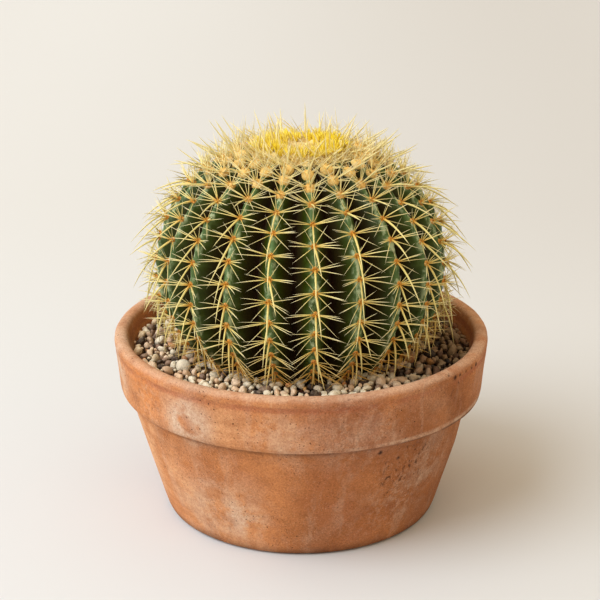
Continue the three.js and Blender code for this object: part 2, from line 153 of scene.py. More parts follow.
def carried_colour(shader, name):
    """The colour that the corners of a mesh carry under this name."""
    return add("Attribute", {"attribute_name": name}, out="Color", tree=shader.id_data)


def new_finish(name, **constants):
    """A material with the sockets that are the same all over set on its shader."""
    finish = bpy.data.materials.new(name)
    finish.use_nodes = True
    shader = finish.node_tree.nodes["Principled BSDF"]
    for socket, value in constants.items():
        shader.inputs[socket.replace("_", " ")].default_value = value
    return finish, shader, add("TexCoord", out="Object", tree=finish.node_tree)


def roughen(shader, height, strength, depth):
    """Turns a height into small dents and bumps of the given depth in metres."""
    normal = add("Bump", None, {"Height": height, "Strength": strength, "Distance": depth})
    wire(normal, shader.inputs["Normal"])


# %% [markdown]
# ## The floor
#
# The pot stands on a pale, seamless surface that runs on behind it. A plain sheet that is far larger than the
# view does this. The light on the real surface falls off a little to the right and to the back, so the paint
# here runs darker there as painted shade, which leaves the lights free.

# %% Lay the floor
FLOOR_SIZE = 14
FLOOR_MIDDLE = (0, 2, -0.2 * MM)

nothing_selected()
bpy.ops.mesh.primitive_plane_add(size=FLOOR_SIZE, location=FLOOR_MIDDLE)
bpy.ops.object.transform_apply(location=True)
floor = bpy.context.object
floor.name = "floor"
floor_finish, shader, place = new_finish("pale floor", Roughness=0.9, Specular_IOR_Level=0.1)
# Painted shade: the floor's paint darkens to the right and to the back, where less light falls.
painted_shade_right = between(along_axis(place, "X"), -0.5, 0.5)
painted_shade_back = between(along_axis(place, "Y"), -0.2, 0.8)
in_front = blend(painted_shade_right, paint(226, 232, 237), paint(215, 217, 216))
behind = blend(painted_shade_right, paint(221, 224, 224), paint(204, 204, 201))
wire(blend(painted_shade_back, in_front, behind), shader.inputs["Base Color"])
floor.data.materials.append(floor_finish)
print("floor:", FLOOR_SIZE, "m across")

# %% [markdown]
# ## The light
#
# The light is soft daylight from the upper left. Lamps near the pot would fade across it, so far lights do
# it: a sun as wide as a window gives the soft shadow, a wider one stands for the pale wall beside the window,
# a third for the ceiling, and a faint warm sky fills the rest.

# %% Light the scene
DAYLIGHT = paint(236, 244, 255)
CEILING = paint(255, 238, 210)
SKY = paint(255, 222, 182)
SKY_STRENGTH = 0.27

bpy.context.scene.view_settings.view_transform = "Standard"
sky = bpy.data.worlds.new("sky")
sky.use_nodes = True
sky.node_tree.nodes["Background"].inputs["Color"].default_value = SKY
sky.node_tree.nodes["Background"].inputs["Strength"].default_value = SKY_STRENGTH
bpy.context.scene.world = sky


def shine(name, way, energy, spread_deg, colour):
    """Far light from a direction. The wider its spread, the softer its shadows."""
    light = bpy.data.objects.new(name, bpy.data.lights.new(name, "SUN"))
    light.data.energy = energy
    light.data.angle = math.radians(spread_deg)
    light.data.color = colour[:3]
    light.rotation_euler = Vector(way).to_track_quat("Z", "Y").to_euler()
    bpy.context.scene.collection.objects.link(light)
    print(name, "from", way, "with", energy)


shine("window", (-1.0, -0.55, 1.2), 1.65, 40, DAYLIGHT)
shine("wall", (-1.0, -0.15, 0.45), 1.68, 100, DAYLIGHT)
shine("ceiling", (0.15, -0.1, 1.0), 1.44, 120, CEILING)

# %% [markdown]
# ## Effects that several finishes share
#
# Clay, gravel, soil and skin all need patches that come and go, and small pits or specks. Each of these is
# a node group with its own inputs, built once and placed in every finish with other numbers.

# %% Make the shared effects
PIT_CRUMPLE = 2.5 * MM


def new_group(name, numbers, output):
    """An empty group that takes a place and some numbers, and gives a mask."""
    tree = bpy.data.node_groups.new(name, "ShaderNodeTree")
    tree.interface.new_socket("Place", in_out="INPUT", socket_type="NodeSocketVector")
    for label, value in numbers.items():
        socket = tree.interface.new_socket(label, in_out="INPUT", socket_type="NodeSocketFloat")
        socket.default_value = value
    tree.interface.new_socket(output, in_out="OUTPUT", socket_type="NodeSocketFloat")
    return tree, tree.nodes.new("NodeGroupInput").outputs, tree.nodes.new("NodeGroupOutput").inputs


patches, given, result = new_group("patches", {"Scale": 20, "Detail": 4, "Low": 0.45, "High": 0.6}, "Mask")
cloud = noise_at(given["Place"], given["Scale"], given["Detail"], 0.6)
wire(between(cloud, given["Low"], given["High"]), result["Mask"])

pits, given, result = new_group("pits", {"Scale": 200, "Size": 0.15, "Share": 0.5}, "Mask")
crumple = noise_at(given["Place"], given["Scale"], 2.0, out="Color")
bent = add("VectorMath", {"operation": "SCALE"}, {0: crumple, "Scale": PIT_CRUMPLE})
moved = add("VectorMath", {"operation": "ADD"}, {0: given["Place"], 1: bent})
cells = add("TexVoronoi", None, {"Vector": moved, "Scale": given["Scale"]}).node.outputs
picked = add("SeparateColor", None, {0: cells["Color"]})
kept = reckon("LESS_THAN", picked, given["Share"])
near = reckon("LESS_THAN", cells["Distance"], given["Size"])
wire(times(kept, near), result["Mask"])


def patch_mask(place, scale, detail, low, high):
    inputs = {"Place": place, "Scale": scale, "Detail": detail, "Low": low, "High": high}
    return add("Group", {"node_tree": patches}, inputs)


def pit_mask(place, scale, size, share):
    inputs = {"Place": place, "Scale": scale, "Size": size, "Share": share}
    return add("Group", {"node_tree": pits}, inputs)


def stretched(place, turn, scale):
    """Turns and scales a place, so that a pattern on it becomes streaks."""
    return add("Mapping", None, {"Vector": place, "Rotation": turn, "Scale": scale})


print("shared effects:", [group.name for group in bpy.data.node_groups])

# %% [markdown]
# ## The pot
#
# The real pot is thrown: a thick body that opens towards a tall collar with a rounded lip, and a drain hole
# in the floor. A spin of its profile would do, but drawing a ring up by hand is just as the potter works: a
# circle round the drain hole is extruded out to the foot, up the wall, round the collar and the lip, and down
# inside. The last ring and the first one are then bridged, which makes the wall of the drain hole. The bed
# under the gravel is drawn up the same way later on, so it is a function.

# %% Draw the pot up from its foot
# Each ring is a radius and a height in mm.
FOOT = [(60, 0), (91.4, 0), (93.6, 0.4), (95.3, 1.7)]
WALL = [(96.6, 4.4), (99.3, 13), (103.0, 26), (106.6, 38), (110.1, 50), (113.5, 62), (116.6, 73),
        (118.9, 81)]
COLLAR = [(120.0, 85.2), (120.7, 86.8), (121.8, 87.6), (123.4, 87.8), (124.9, 88.5), (126.0, 90.0),
          (126.6, 92.2), (127.0, 95.5), (127.5, 101), (128.1, 108), (128.8, 114.5), (129.1, 117.6),
          (128.8, 118.9), (128.9, 119.6)]
LIP = [(129.4, 121), (129.6, 123.4), (129.3, 125.5), (128.2, 127.1), (126.3, 127.8), (123.6, 127.8),
       (121.5, 127.0), (120.3, 125.4), (119.8, 122.8)]
INSIDE = [(118.5, 118), (116.4, 111), (110.0, 89), (101.6, 60), (92.9, 30), (88.8, 16.5), (86.8, 13.6),
          (83.0, 13)]
DRAIN_RADIUS, POT_FLOOR = 9.5, 13
POT_SIDES = 144


def draw_up(name, sides, first, rings):
    """Extrudes a circle through the rings, and bridges the last ring to the first."""
    nothing_selected()
    radius_now, height_now = first
    bpy.ops.mesh.primitive_circle_add(vertices=sides, radius=radius_now * MM,
                                      location=(0, 0, height_now * MM))
    bpy.ops.object.transform_apply(location=True)
    made = bpy.context.object
    made.name = name
    bpy.ops.object.mode_set(mode="EDIT")
    bpy.ops.mesh.select_all(action="SELECT")
    for radius, height in rings:
        lift = (0, 0, (height - height_now) * MM)
        bpy.ops.mesh.extrude_region_move(TRANSFORM_OT_translate={"value": lift})
        wider = radius / radius_now
        bpy.ops.transform.resize(value=(wider, wider, 1), center_override=(0, 0, 0))
        radius_now, height_now = radius, height
    bpy.ops.mesh.select_all(action="DESELECT")
    bpy.ops.mesh.select_non_manifold()
    bpy.ops.mesh.bridge_edge_loops()
    bpy.ops.mesh.select_all(action="SELECT")
    bpy.ops.mesh.normals_make_consistent(inside=False)
    bpy.ops.object.mode_set(mode="OBJECT")
    print(name, len(made.data.polygons), "faces")
    return made


pot_rings = FOOT + WALL + COLLAR + LIP + INSIDE + [(DRAIN_RADIUS, POT_FLOOR)]
pot = draw_up("terracotta_pot", POT_SIDES, (DRAIN_RADIUS, 0), pot_rings)

# %% [markdown]
# A thrown pot is never quite round. On the right side of this one the foot of the collar has sagged by about
# 3 mm, and the wall under it tucks in by as much. Everywhere a few tenths of a millimetre in or out, from a
# soft noise, keep the rim and the shading from looking machined, inside the size that the frame gives.

# %% Let the clay sag and wander a little
SAG, TUCK = 3.2, 3.0
SAG_LOW, SAG_HIGH = 50, 100
SAG_ACROSS, WALL_RADIUS = 110, 120
WIDE_WAVE, FINE_WAVE = 0.0022, 0.0007
MOST_IN, MOST_OUT = -0.003, 0.0024

for vertex in pot.data.vertices:
    across, up = vertex.co.x / MM, vertex.co.z / MM
    on_outside = vertex.co.xy.length / MM > np.interp(up, [0, 128], [90, 124]) - 3
    if on_outside and across > 0 and SAG_LOW < up < SAG_HIGH:
        share = min(across / SAG_ACROSS, 1) ** 2 * np.interp(up, [SAG_LOW, 82, 90, SAG_HIGH], [0, 1, 1, 0])
        vertex.co.z -= SAG * MM * share
        vertex.co.xy *= 1 - TUCK / WALL_RADIUS * share * np.interp(up, [85, 89], [1, 0])
    wander = noise.noise(vertex.co * 16) * WIDE_WAVE + noise.noise(vertex.co * 60) * FINE_WAVE
    vertex.co.xy *= 1 + max(MOST_IN, min(wander, MOST_OUT))
nothing_selected()
pot.select_set(True)
bpy.context.view_layer.objects.active = pot
bpy.ops.object.shade_smooth_by_angle(angle=math.radians(50))
widest = max(vertex.co.xy.length for vertex in pot.data.vertices)
print("widest radius of the pot:", round(widest / MM, 2), "mm")

# %% [markdown]
# ## Terracotta
#
# Old terracotta is far from one colour. The clay drifts between orange and brown, lime from the water blooms
# in pale patches where it dries, mostly on the collar, and small burnt pits pepper it. Patches of painted
# light lighten the side that faces the light, and patches of painted shade darken the right side. Each of
# these is a mask that lays one colour over the last. The great patches sit where they grew on this pot, or
# where the light and shade fall, so they are given by place, reach and strength and broken up with noise, and
# all the rest is left to chance.

# %% Name the colours of the clay and the places of its patches
CLAY_ORANGE = paint(214, 142, 88)
CLAY_BROWN = paint(172, 106, 62)
CLAY_RED = paint(170, 96, 66)
CLAY_PINK = paint(196, 130, 98)
CLAY_STAIN = paint(222, 136, 66)
CLAY_IN_PAINTED_LIGHT = paint(240, 182, 132)
CLAY_IN_PAINTED_SHADE = paint(144, 86, 48)
CLAY_LILAC = paint(184, 142, 120)
CLAY_DARK = paint(124, 66, 40)
CLAY_SAND = paint(232, 190, 150)
LIME = paint(222, 192, 164)
BURNT_DIRT_AND_SHADE = paint(60, 32, 20)

# Each patch is its middle and its reach in mm, and its strength.
BLOOMS = [((-74, -105, 99), 27, 1.2), ((-14, -127, 100), 32, 0.5), ((18, -126, 90), 24, 0.2),
          ((44, -119, 98), 34, 0.2), ((-124, -30, 110), 34, 0.9), ((-72, -72, 22), 30, 0.35),
          ((-38, -92, 26), 26, 0.5), ((-45, -92, 40), 42, 0.4), ((-128, -10, 100), 30, 0.6),
          ((88, -72, 45), 40, 0.3), ((60, 105, 104), 60, 0.8), ((-70, 75, 40), 60, 0.6)]
STAINS = [((-98, -82, 114), 34, 0.8), ((110, -60, 120), 26, 0.4), ((-75, -75, 60), 40, 0.5)]
# Painted light: the clay is lighter in these patches, on the side that faces the light.
PAINTED_LIGHT_SPOTS = [((-112, -40, 50), 80, 0.95), ((-122, -20, 105), 60, 0.5), ((-60, -92, 20), 44, 0.7),
         ((-52, -117, 104), 28, 0.6)]
# Painted shade: the clay is darker in these patches, mostly on the right, away from the light.
PAINTED_SHADE_SPOTS = [((26, -125, 104), 30, 0.35), ((118, -50, 60), 105, 0.85), ((85, -95, 110), 60, 0.6),
         ((8, -98, 16), 44, 0.5), ((20, 120, 60), 110, 0.6)]
LILAC = [((40, -122, 108), 55, 0.45), ((-76, -103, 112), 30, 0.6), ((122, -30, 108), 40, 0.5),
         ((95, 85, 100), 50, 0.7)]
FLAKES = [((82, -84, 55), 46, 0.55), ((60, -100, 26), 44, 0.5), ((-100, -76, 105), 30, 0.6),
          ((40, -122, 98), 44, 0.6), ((-60, -90, 22), 34, 0.5), ((-40, 100, 70), 70, 0.7)]
PEPPER = [((-62, -113, 117), 36, 0.9), ((-35, -98, 36), 30, 0.9), ((-16, -96, 10), 34, 0.8),
          ((20, -110, 50), 22, 0.5), ((70, -108, 105), 30, 0.7), ((-20, -126, 108), 40, 0.6),
          ((50, 100, 50), 50, 0.7), ((-90, 50, 90), 40, 0.6)]
CRACKS = [((66, -94, 70), 26, 1.0), ((57, -92, 50), 18, 0.8), ((82, -82, 62), 24, 0.8),
          ((96, -82, 112), 18, 0.7), ((-60, 95, 60), 30, 0.8)]
NICKS = [((100, -82, 123), 2.6, 1.0), ((103.5, -77.5, 123), 1.8, 0.9), ((108, -71, 123), 1.6, 0.7),
         ((112.5, -63.5, 122.5), 1.8, 0.9), ((116, -57, 122), 2.6, 1.0), ((95, -86, 126), 1.7, 0.8),
         ((51, -107, 81), 2.6, 1.0), ((63, -97, 73), 2.2, 0.8)]
print("patches given by place:", sum(map(len, (BLOOMS, STAINS, PAINTED_LIGHT_SPOTS, PAINTED_SHADE_SPOTS, LILAC, FLAKES))))

# %% [markdown]
# The first layers are the clay itself: its drift between two colours, the patches where it is rosy, stained
# or lilac, and the streaks that the water and the turning of the wheel left on it. With them go patches of
# painted light on the lit side and of painted shade on the right.

# %% Mix the clay
clay, shader, place = new_finish("terracotta", Roughness=0.88, Specular_IOR_Level=0.25)


def placed(spots, ragged):
    """The places where a patch grew, as a mask with a ragged edge."""
    total = None
    for centre, reach, strength in spots:
        middle = tuple(v * MM for v in centre)
        apart = add("VectorMath", {"operation": "DISTANCE"}, {0: place, 1: middle}, "Value")
        spot = between(apart, reach * MM, reach * 0.2 * MM, 0.0, strength)
        total = spot if total is None else plus(total, spot)
    return times(total, ragged)


drift = patch_mask(place, 11, 4, 0.38, 0.62)
colour = blend(drift, CLAY_ORANGE, CLAY_BROWN)
rosy = patch_mask(place, 26, 5, 0.5, 0.72)
colour = blend(times(rosy, 0.4), colour, CLAY_PINK)
# Along with real stains and lilac patches, this loop lays the patches of painted light and painted shade.
for spots, tint, edge in [(STAINS, CLAY_STAIN, (40, 4, 0.3, 0.55)), (PAINTED_LIGHT_SPOTS, CLAY_IN_PAINTED_LIGHT, (30, 6, 0.3, 0.6)),
                          (PAINTED_SHADE_SPOTS, CLAY_IN_PAINTED_SHADE, (24, 7, 0.25, 0.6)), (LILAC, CLAY_LILAC, (40, 8, 0.35, 0.6))]:
    colour = blend(placed(spots, patch_mask(place, *edge)), colour, tint)
streaks = patch_mask(stretched(place, (0.2, 0.75, 0), (1, 1, 0.16)), 70, 8, 0.52, 0.66)
colour = blend(times(streaks, 0.2), colour, LIME)
turned = patch_mask(stretched(place, (0, 0, 0), (0.1, 0.1, 1)), 190, 5, 0.48, 0.66)
colour = blend(times(turned, 0.3), colour, CLAY_BROWN)
print("clay so far:", len(clay.node_tree.nodes), "nodes")

# %% [markdown]
# Lime blooms over the clay. It also marks the lip, which hands and shelves wear, and along the foot of the
# collar on the right it is a thin painted highlight. A darker, redder line fills the shallow groove under the
# lip.

# %% Lay the lime, wear the lip and paint a highlight on the collar's foot
# Each band: the heights in mm where it starts, is full, is still full, and has ended.
GROOVE = (116.5, 119, 121, 122.5)
COLLAR_EDGE = (87.5, 88.6, 90, 92.5)


def band(height, starts, full, still_full, ended):
    """A mask for a ring of the pot between two heights."""
    rising = between(height, starts * MM, full * MM)
    return times(rising, between(height, ended * MM, still_full * MM))


height = along_axis(place, "Z")
bloom = placed(BLOOMS, patch_mask(place, 48, 10, 0.4, 0.57))
veil = times(patch_mask(place, 19, 8, 0.52, 0.8), 0.3)
colour = blend(times(plus(bloom, veil), 0.88), colour, LIME)
groove = times(band(height, *GROOVE), patch_mask(place, 30, 5, 0.3, 0.6))
colour = blend(times(groove, 0.6), colour, CLAY_RED)
# Painted highlight: a thin lime-coloured line along the foot of the collar, on the right side only.
on_right = between(along_axis(place, "X"), -30 * MM, 50 * MM)
on_right = times(on_right, patch_mask(place, 50, 5, 0.35, 0.6))
painted_edge_highlight = times(band(height, *COLLAR_EDGE), on_right)
colour = blend(times(painted_edge_highlight, 0.6), colour, LIME)
worn_lip = between(height, 123.5 * MM, 127.5 * MM, 0.0, 0.55)
worn_lip = times(worn_lip, patch_mask(place, 55, 6, 0.2, 0.55))
colour = blend(worn_lip, colour, LIME)
print("with its lime:", len(clay.node_tree.nodes), "nodes")

# %% [markdown]
# Seen from near, fired clay is sandy: a fine mottle, pale grains and flakes. The crevice under the collar is
# darkened by dirt and by painted shade, and the clay is painted darker towards the foot.

# %% Add the sand, the flakes, the dirt and the painted shade
CREVICE = (82.5, 86.8, 87.8, 89.2)

mottle = noise_at(place, 330.0, 6.0, 0.7)
colour = blend(between(mottle, 0.35, 0.75, 0.0, 0.32), colour, CLAY_BROWN)
colour = blend(between(mottle, 0.58, 0.8, 0.0, 0.25), colour, LIME)
flaky = placed(FLAKES, patch_mask(place, 260, 12, 0.5, 0.58))
colour = blend(times(flaky, 0.28), colour, LIME)
slanted = stretched(place, (0.4, 0.3, 0), (1, 1, 0.6))
stained = placed(FLAKES, patch_mask(slanted, 130, 12, 0.5, 0.62))
colour = blend(times(stained, 0.5), colour, CLAY_DARK)
grit = between(noise_at(place, 800.0, 6.0, 0.8), 0.3, 0.7, 0.2, 0.8)
colour = blend(0.5, colour, grit, "OVERLAY")
sand = times(pit_mask(place, 900, 0.26, 0.35), patch_mask(place, 34, 5, 0.35, 0.6))
colour = blend(times(sand, 0.4), colour, CLAY_SAND)
smudge = times(patch_mask(place, 70, 7, 0.5, 0.66), 0.35)
colour = blend(smudge, colour, CLAY_BROWN)
# Darker towards the foot, and darker in the crevice under the collar, where dirt and painted shade are mixed.
darker_foot = between(height, 9 * MM, 1 * MM, 0.0, 0.5)
crevice_and_foot_darkening = plus(times(band(height, *CREVICE), 0.55), darker_foot)
colour = blend(times(crevice_and_foot_darkening, patch_mask(place, 60, 5, 0.25, 0.55)), colour, BURNT_DIRT_AND_SHADE)
print("with its dirt:", len(clay.node_tree.nodes), "nodes")

# %% [markdown]
# Last come the marks that the fire burnt in: pits and specks, which lie thick in some places and thin in
# others, a few larger holes, broken cracks, and a row of small nicks on the right of the lip. They are dark
# and they are hollows, so one mask colours them and lowers the surface.

# %% Burn in the pits, the cracks and the nicks
peppered = patch_mask(place, 17, 3, 0.4, 0.62)
thick = placed(PEPPER, patch_mask(place, 90, 4, 0.3, 0.5))
pit = times(pit_mask(place, 330, 0.15, 0.45), plus(times(peppered, 0.5), thick))
speck = times(pit_mask(place, 760, 0.22, 0.4), plus(plus(peppered, thick), 0.3))
hole = pit_mask(stretched(place, (0, 0, 0), (1, 1, 1.3)), 120, 0.08, 0.1)
broken = stretched(place, (0.5, -0.6, 0.3), (1, 1, 0.5))
crack = placed(CRACKS, patch_mask(broken, 420, 6, 0.57, 0.64))
nick = placed(NICKS, patch_mask(place, 420, 5, 0.36, 0.5))
dark = plus(plus(pit, hole), plus(times(speck, 0.5), times(crack, 0.7)))
dark = plus(dark, nick)
colour = blend(times(dark, 0.95), colour, BURNT_DIRT_AND_SHADE)
wire(colour, shader.inputs["Base Color"])
rings = noise_at(stretched(place, (0, 0, 0), (0.12, 0.12, 1)), 260.0, 3.0)
grain = noise_at(place, 800.0, 4.0)
surface = plus(times(grain, 0.5), times(rings, 0.4))
roughen(shader, reckon("SUBTRACT", surface, dark), 0.7, 0.7 * MM)
pot.data.materials.append(clay)
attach(pot, "root")
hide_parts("pot")
print("terracotta:", len(clay.node_tree.nodes), "nodes")

# %% [markdown]
# ## The potting soil
#
# The soil fills the pot under the gravel and is hardly seen, so its shape from the frame is good enough. It
# keeps that mesh and only gets a finish: dark and crumbly, with paler grains.

# %% Make the soil
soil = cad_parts["potting_soil"]
soil_finish, shader, place = new_finish("potting soil", Roughness=0.95, Specular_IOR_Level=0.15)
crumbs = patch_mask(place, 160, 6, 0.4, 0.65)
colour = blend(crumbs, paint(46, 33, 24), paint(86, 64, 47))
colour = blend(pit_mask(place, 300, 0.25, 0.15), colour, paint(176, 160, 138))
wire(colour, shader.inputs["Base Color"])
roughen(shader, crumbs, 0.8, 1.5 * MM)
soil.data.materials.clear()
soil.data.materials.append(soil_finish)
print("soil:", len(soil.data.polygons), "faces")

# %% [markdown]
# ## Pebbles, modelled a few times and copied
#
# The top dressing is rounded grit of 3 to 11 mm: hundreds of stones, no two alike. A rigid-body fall could
# pile them up, but it is slow and its result is hard to repeat. Instead a handful of pebbles is carved, by
# slicing flats off a ball, and each stone of the bed is one of them, turned, stretched and coloured by
# chance. A shape that is repeated this often has to be light, so each pebble has about a hundred faces.

# %% Carve the pebbles
PEBBLE_FLATS = 9
FLAT_DEPTH = 0.7


def take_shape(made):
    """The corners and triangles of an object, which is then removed."""
    points = np.array([vertex.co for vertex in made.data.vertices])
    triangles = np.array([list(face.vertices) for face in made.data.polygons])
    bpy.data.objects.remove(made)
    return points, triangles


def carve_pebble(seed):
    chance = random.Random(seed)
    nothing_selected()
    bpy.ops.mesh.primitive_ico_sphere_add(subdivisions=2, radius=1)
    bpy.ops.object.mode_set(mode="EDIT")
    for _ in range(PEBBLE_FLATS):
        way = Vector([chance.uniform(-1, 1) for _ in range(3)]).normalized()
        bpy.ops.mesh.select_all(action="SELECT")
        bpy.ops.mesh.bisect(plane_co=way * FLAT_DEPTH, plane_no=way, use_fill=True, clear_outer=True)
    bpy.ops.mesh.select_all(action="SELECT")
    bpy.ops.mesh.remove_doubles(threshold=0.12)
    bpy.ops.mesh.quads_convert_to_tris()
    bpy.ops.mesh.vertices_smooth(factor=0.1)
    bpy.ops.mesh.normals_make_consistent(inside=False)
    bpy.ops.object.mode_set(mode="OBJECT")
    return take_shape(bpy.context.object)


PEBBLE_SHAPES = [carve_pebble(seed) for seed in range(1, 9)]
print("faces of each pebble:", [len(triangles) for _, triangles in PEBBLE_SHAPES])

# %% [markdown]
# ## Many copies in one mesh
#
# Thousands of stones or spines as objects of their own would slow Blender down. Instead the corners of all
# copies go into one mesh, and each corner carries the colour of its copy for the shader to read.

# %% Join copies in one mesh
def join_copies(name, points, triangles, colours):
    """One object of many copies. points is copies x corners x 3, and colours is copies x corners x 4."""
    copies, corners = points.shape[:2]
    faces = triangles[None] + (np.arange(copies) * corners)[:, None, None]
    made = bpy.data.meshes.new(name)
    made.from_pydata(points.reshape(-1, 3).tolist(), [], faces.reshape(-1, 3).tolist())
    tone = made.color_attributes.new("tone", "FLOAT_COLOR", "POINT")
    tone.data.foreach_set("color", colours.reshape(-1).astype(np.float32))
    made.shade_smooth()
    piece = bpy.data.objects.new(name, made)
    bpy.context.scene.collection.objects.link(piece)
    return piece


def joined(name, pieces, finish):
    """Joins several of these objects in one."""
    nothing_selected()
    for piece in pieces:
        piece.select_set(True)
    bpy.context.view_layer.objects.active = pieces[0]
    if len(pieces) > 1:
        bpy.ops.object.join()
    piece = bpy.context.view_layer.objects.active
    piece.name = piece.data.name = name
    piece.data.materials.append(finish)
    print(name, len(piece.data.polygons), "faces")
    return piece


# %% [markdown]
# ## Strewing the gravel
#
# Large stones are thrown first, then smaller ones into what room is left, each checked against those that
# already lie there. A lower layer closes the gaps of the upper one.

# %% Throw the stones
BED_INNER, BED_OUTER = 68.0, 117.0
BED_LEVEL, BED_FLARE = 112, 0.35
UPPER_RADII, UPPER_TRIES = [4.6, 3.8, 3.1, 2.5, 1.9, 1.4], [20, 130, 800, 2800, 3400, 3400]
LOWER_RADII, LOWER_TRIES = [3.6, 2.6, 1.8], [500, 1500, 2000]


def strew(seed, radii, tries, squeeze, level, ease):
    """Throws round stones of these radii on the bed, where they find room. Gives x, y, z and radius."""
    chance = np.random.default_rng(seed)
    lying = np.zeros((0, 4))
    for radius, count in zip(radii, tries):
        for _ in range(count):
            size = radius * chance.uniform(0.85, 1.15)
            outer = BED_OUTER + BED_FLARE * (level - BED_LEVEL) - size * 0.8
            way = chance.uniform(0, 2 * math.pi)
            out = math.sqrt(chance.uniform(BED_INNER ** 2, outer ** 2))
            x, y = out * math.cos(way), out * math.sin(way)
            room = np.hypot(lying[:, 0] - x, lying[:, 1] - y) - squeeze * (lying[:, 3] + size)
            if len(lying) == 0 or room.min() > 0:
                height = level + size * ease + chance.uniform(-0.6, 0.6)
                lying = np.vstack([lying, (x, y, height, size)])
    return lying


upper = strew(3, UPPER_RADII, UPPER_TRIES, squeeze=0.9, level=114.2, ease=0.4)
lower = strew(4, LOWER_RADII, LOWER_TRIES, squeeze=0.8, level=111.0, ease=0.3)
print(len(upper), "stones on top,", len(lower), "under them")

# %% [markdown]
# The colours of the stones come from a short list, as on the real bed: mostly warm white, then beige,
# grey-brown, dark brown and ochre, each stone a bit lighter or darker. Their finish adds dust, grime and
# small dents, and darkens those on the right with painted shade, where the plant shades them.

# %% Turn, stretch and colour the stones
# Each colour comes with its share.
STONE_COLOURS = [(paint(255, 232, 192), 9), (paint(255, 243, 214), 20), (paint(226, 192, 156), 5),
                 (paint(150, 122, 102), 6), (paint(66, 50, 38), 8), (paint(214, 150, 98), 2),
                 (paint(255, 200, 124), 2), (paint(255, 226, 192), 8)]
STRETCH_LEAST, STRETCH_MOST = [0.95, 0.76, 0.6], [1.4, 1.05, 0.9]
# Painted shade: the lower layer is darkened to these shares, for the shade in the gaps between the upper
# stones.
UNDER_LAYER_PAINTED_SHADE = np.array([0.16, 0.08, 0.03])


def spin_matrices(chance, count):
    """Turns by chance, evenly over all directions."""
    quaternions = chance.normal(size=(count, 4))
    quaternions /= np.linalg.norm(quaternions, axis=1, keepdims=True)
    w, x, y, z = quaternions.T
    rows = [[1 - 2 * (y * y + z * z), 2 * (x * y - z * w), 2 * (x * z + y * w)],
            [2 * (x * y + z * w), 1 - 2 * (x * x + z * z), 2 * (y * z - x * w)],
            [2 * (x * z - y * w), 2 * (y * z + x * w), 1 - 2 * (x * x + y * y)]]
    return np.array(rows).transpose(2, 0, 1)


def lay_stones(name, lying, seed, finish, shade=1.0):
    chance = np.random.default_rng(seed)
    weights = np.array([weight for _, weight in STONE_COLOURS], float)
    pieces = []
    for kind, (points, triangles) in enumerate(PEBBLE_SHAPES):
        mine = lying[kind::len(PEBBLE_SHAPES)]
        stretch = chance.uniform(STRETCH_LEAST, STRETCH_MOST, (len(mine), 3))
        turns = spin_matrices(chance, len(mine))
        turned = np.einsum("nij,ncj->nci", turns, points[None] * stretch[:, None])
        corners = (mine[:, None, :3] + turned * mine[:, None, 3:]) * MM
        which = chance.choice(len(STONE_COLOURS), len(mine), p=weights / weights.sum())
        colours = np.array([STONE_COLOURS[i][0] for i in which])
        luck = np.minimum(chance.uniform(0.9, 1.4, len(mine)), 1 / colours[:, :3].max(1))
        colours[:, :3] *= luck[:, None] * shade
        colours = np.repeat(colours[:, None], len(points), axis=1)
        pieces.append(join_copies(name, corners, triangles, colours))
    return joined(name, pieces, finish)


stone_finish, shader, place = new_finish("mixed stones", Roughness=0.6, Specular_IOR_Level=0.5)
dust = patch_mask(place, 340, 5, 0.45, 0.75)
colour = blend(times(dust, 0.3), carried_colour(shader, "tone"), paint(255, 234, 200))
grime = patch_mask(place, 520, 6, 0.5, 0.66)
colour = blend(times(grime, 0.12), colour, paint(80, 54, 32))
# Painted shade: the stones on the right are darkened, where the plant shades them.
painted_shade_on_right = between(along_axis(place, "X"), 45 * MM, 100 * MM, 0.0, 0.9)
colour = blend(painted_shade_on_right, colour, paint(128, 102, 72), "MULTIPLY")
wire(colour, shader.inputs["Base Color"])
roughen(shader, noise_at(place, 760.0, 6.0, 0.7), 0.6, 1.2 * MM)
stones = lay_stones("gravel_stones", upper, 13, stone_finish)
under_stones = lay_stones("gravel_under_stones", lower, 14, stone_finish, UNDER_LAYER_PAINTED_SHADE)

# %% [markdown]
# Between the stones there is finer, darker grit. A plain ring would leave hard edges, so the bed is drawn up
# like the pot: a circle round the stem goes up, out and down, is closed by a bridge, and gets the rough
# finish of the soil.

# %% Make the bed under the stones
BED_SIDES = 96
BED_START = (66.2, 104.5)
BED_RINGS = [(66.6, 110.6), (92, 111.4), (114.6, 110.8), (113.0, 104.5)]

bed = draw_up("gravel_bed", BED_SIDES, BED_START, BED_RINGS)
bed.data.materials.append(soil_finish)
for piece in (stones, under_stones, bed):
    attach(piece, "root")
    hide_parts("gravel")

# %% [markdown]
# ## The shape of the stem
#
# The stem is a slightly flattened globe with 21 straight ribs. Its crest line is a superellipse, which the
# same few numbers describe here and in the frame. All that grows on the stem, the cushions and the spines,
# needs places on that line, so it is worked out first: where a crest is, which way is up it, and which way
# is out.

# %% Work out the crest line
RIBS = 21
RIB_PITCH = 2 * math.pi / RIBS
FRONT_TURN = math.radians(5.2) - math.pi / 2
STEM_RADIUS, STEM_HALF_HEIGHT, STEM_MIDDLE, STEM_POWER = 99.0, 83.0, 175.0, 2.12
STEM_ENTRY, CROWN_RIM_RADIUS, CROWN_SEAT = 116.0, 38.0, 250.0
CREST_POINTS = 1500
NEARBY = 0.004

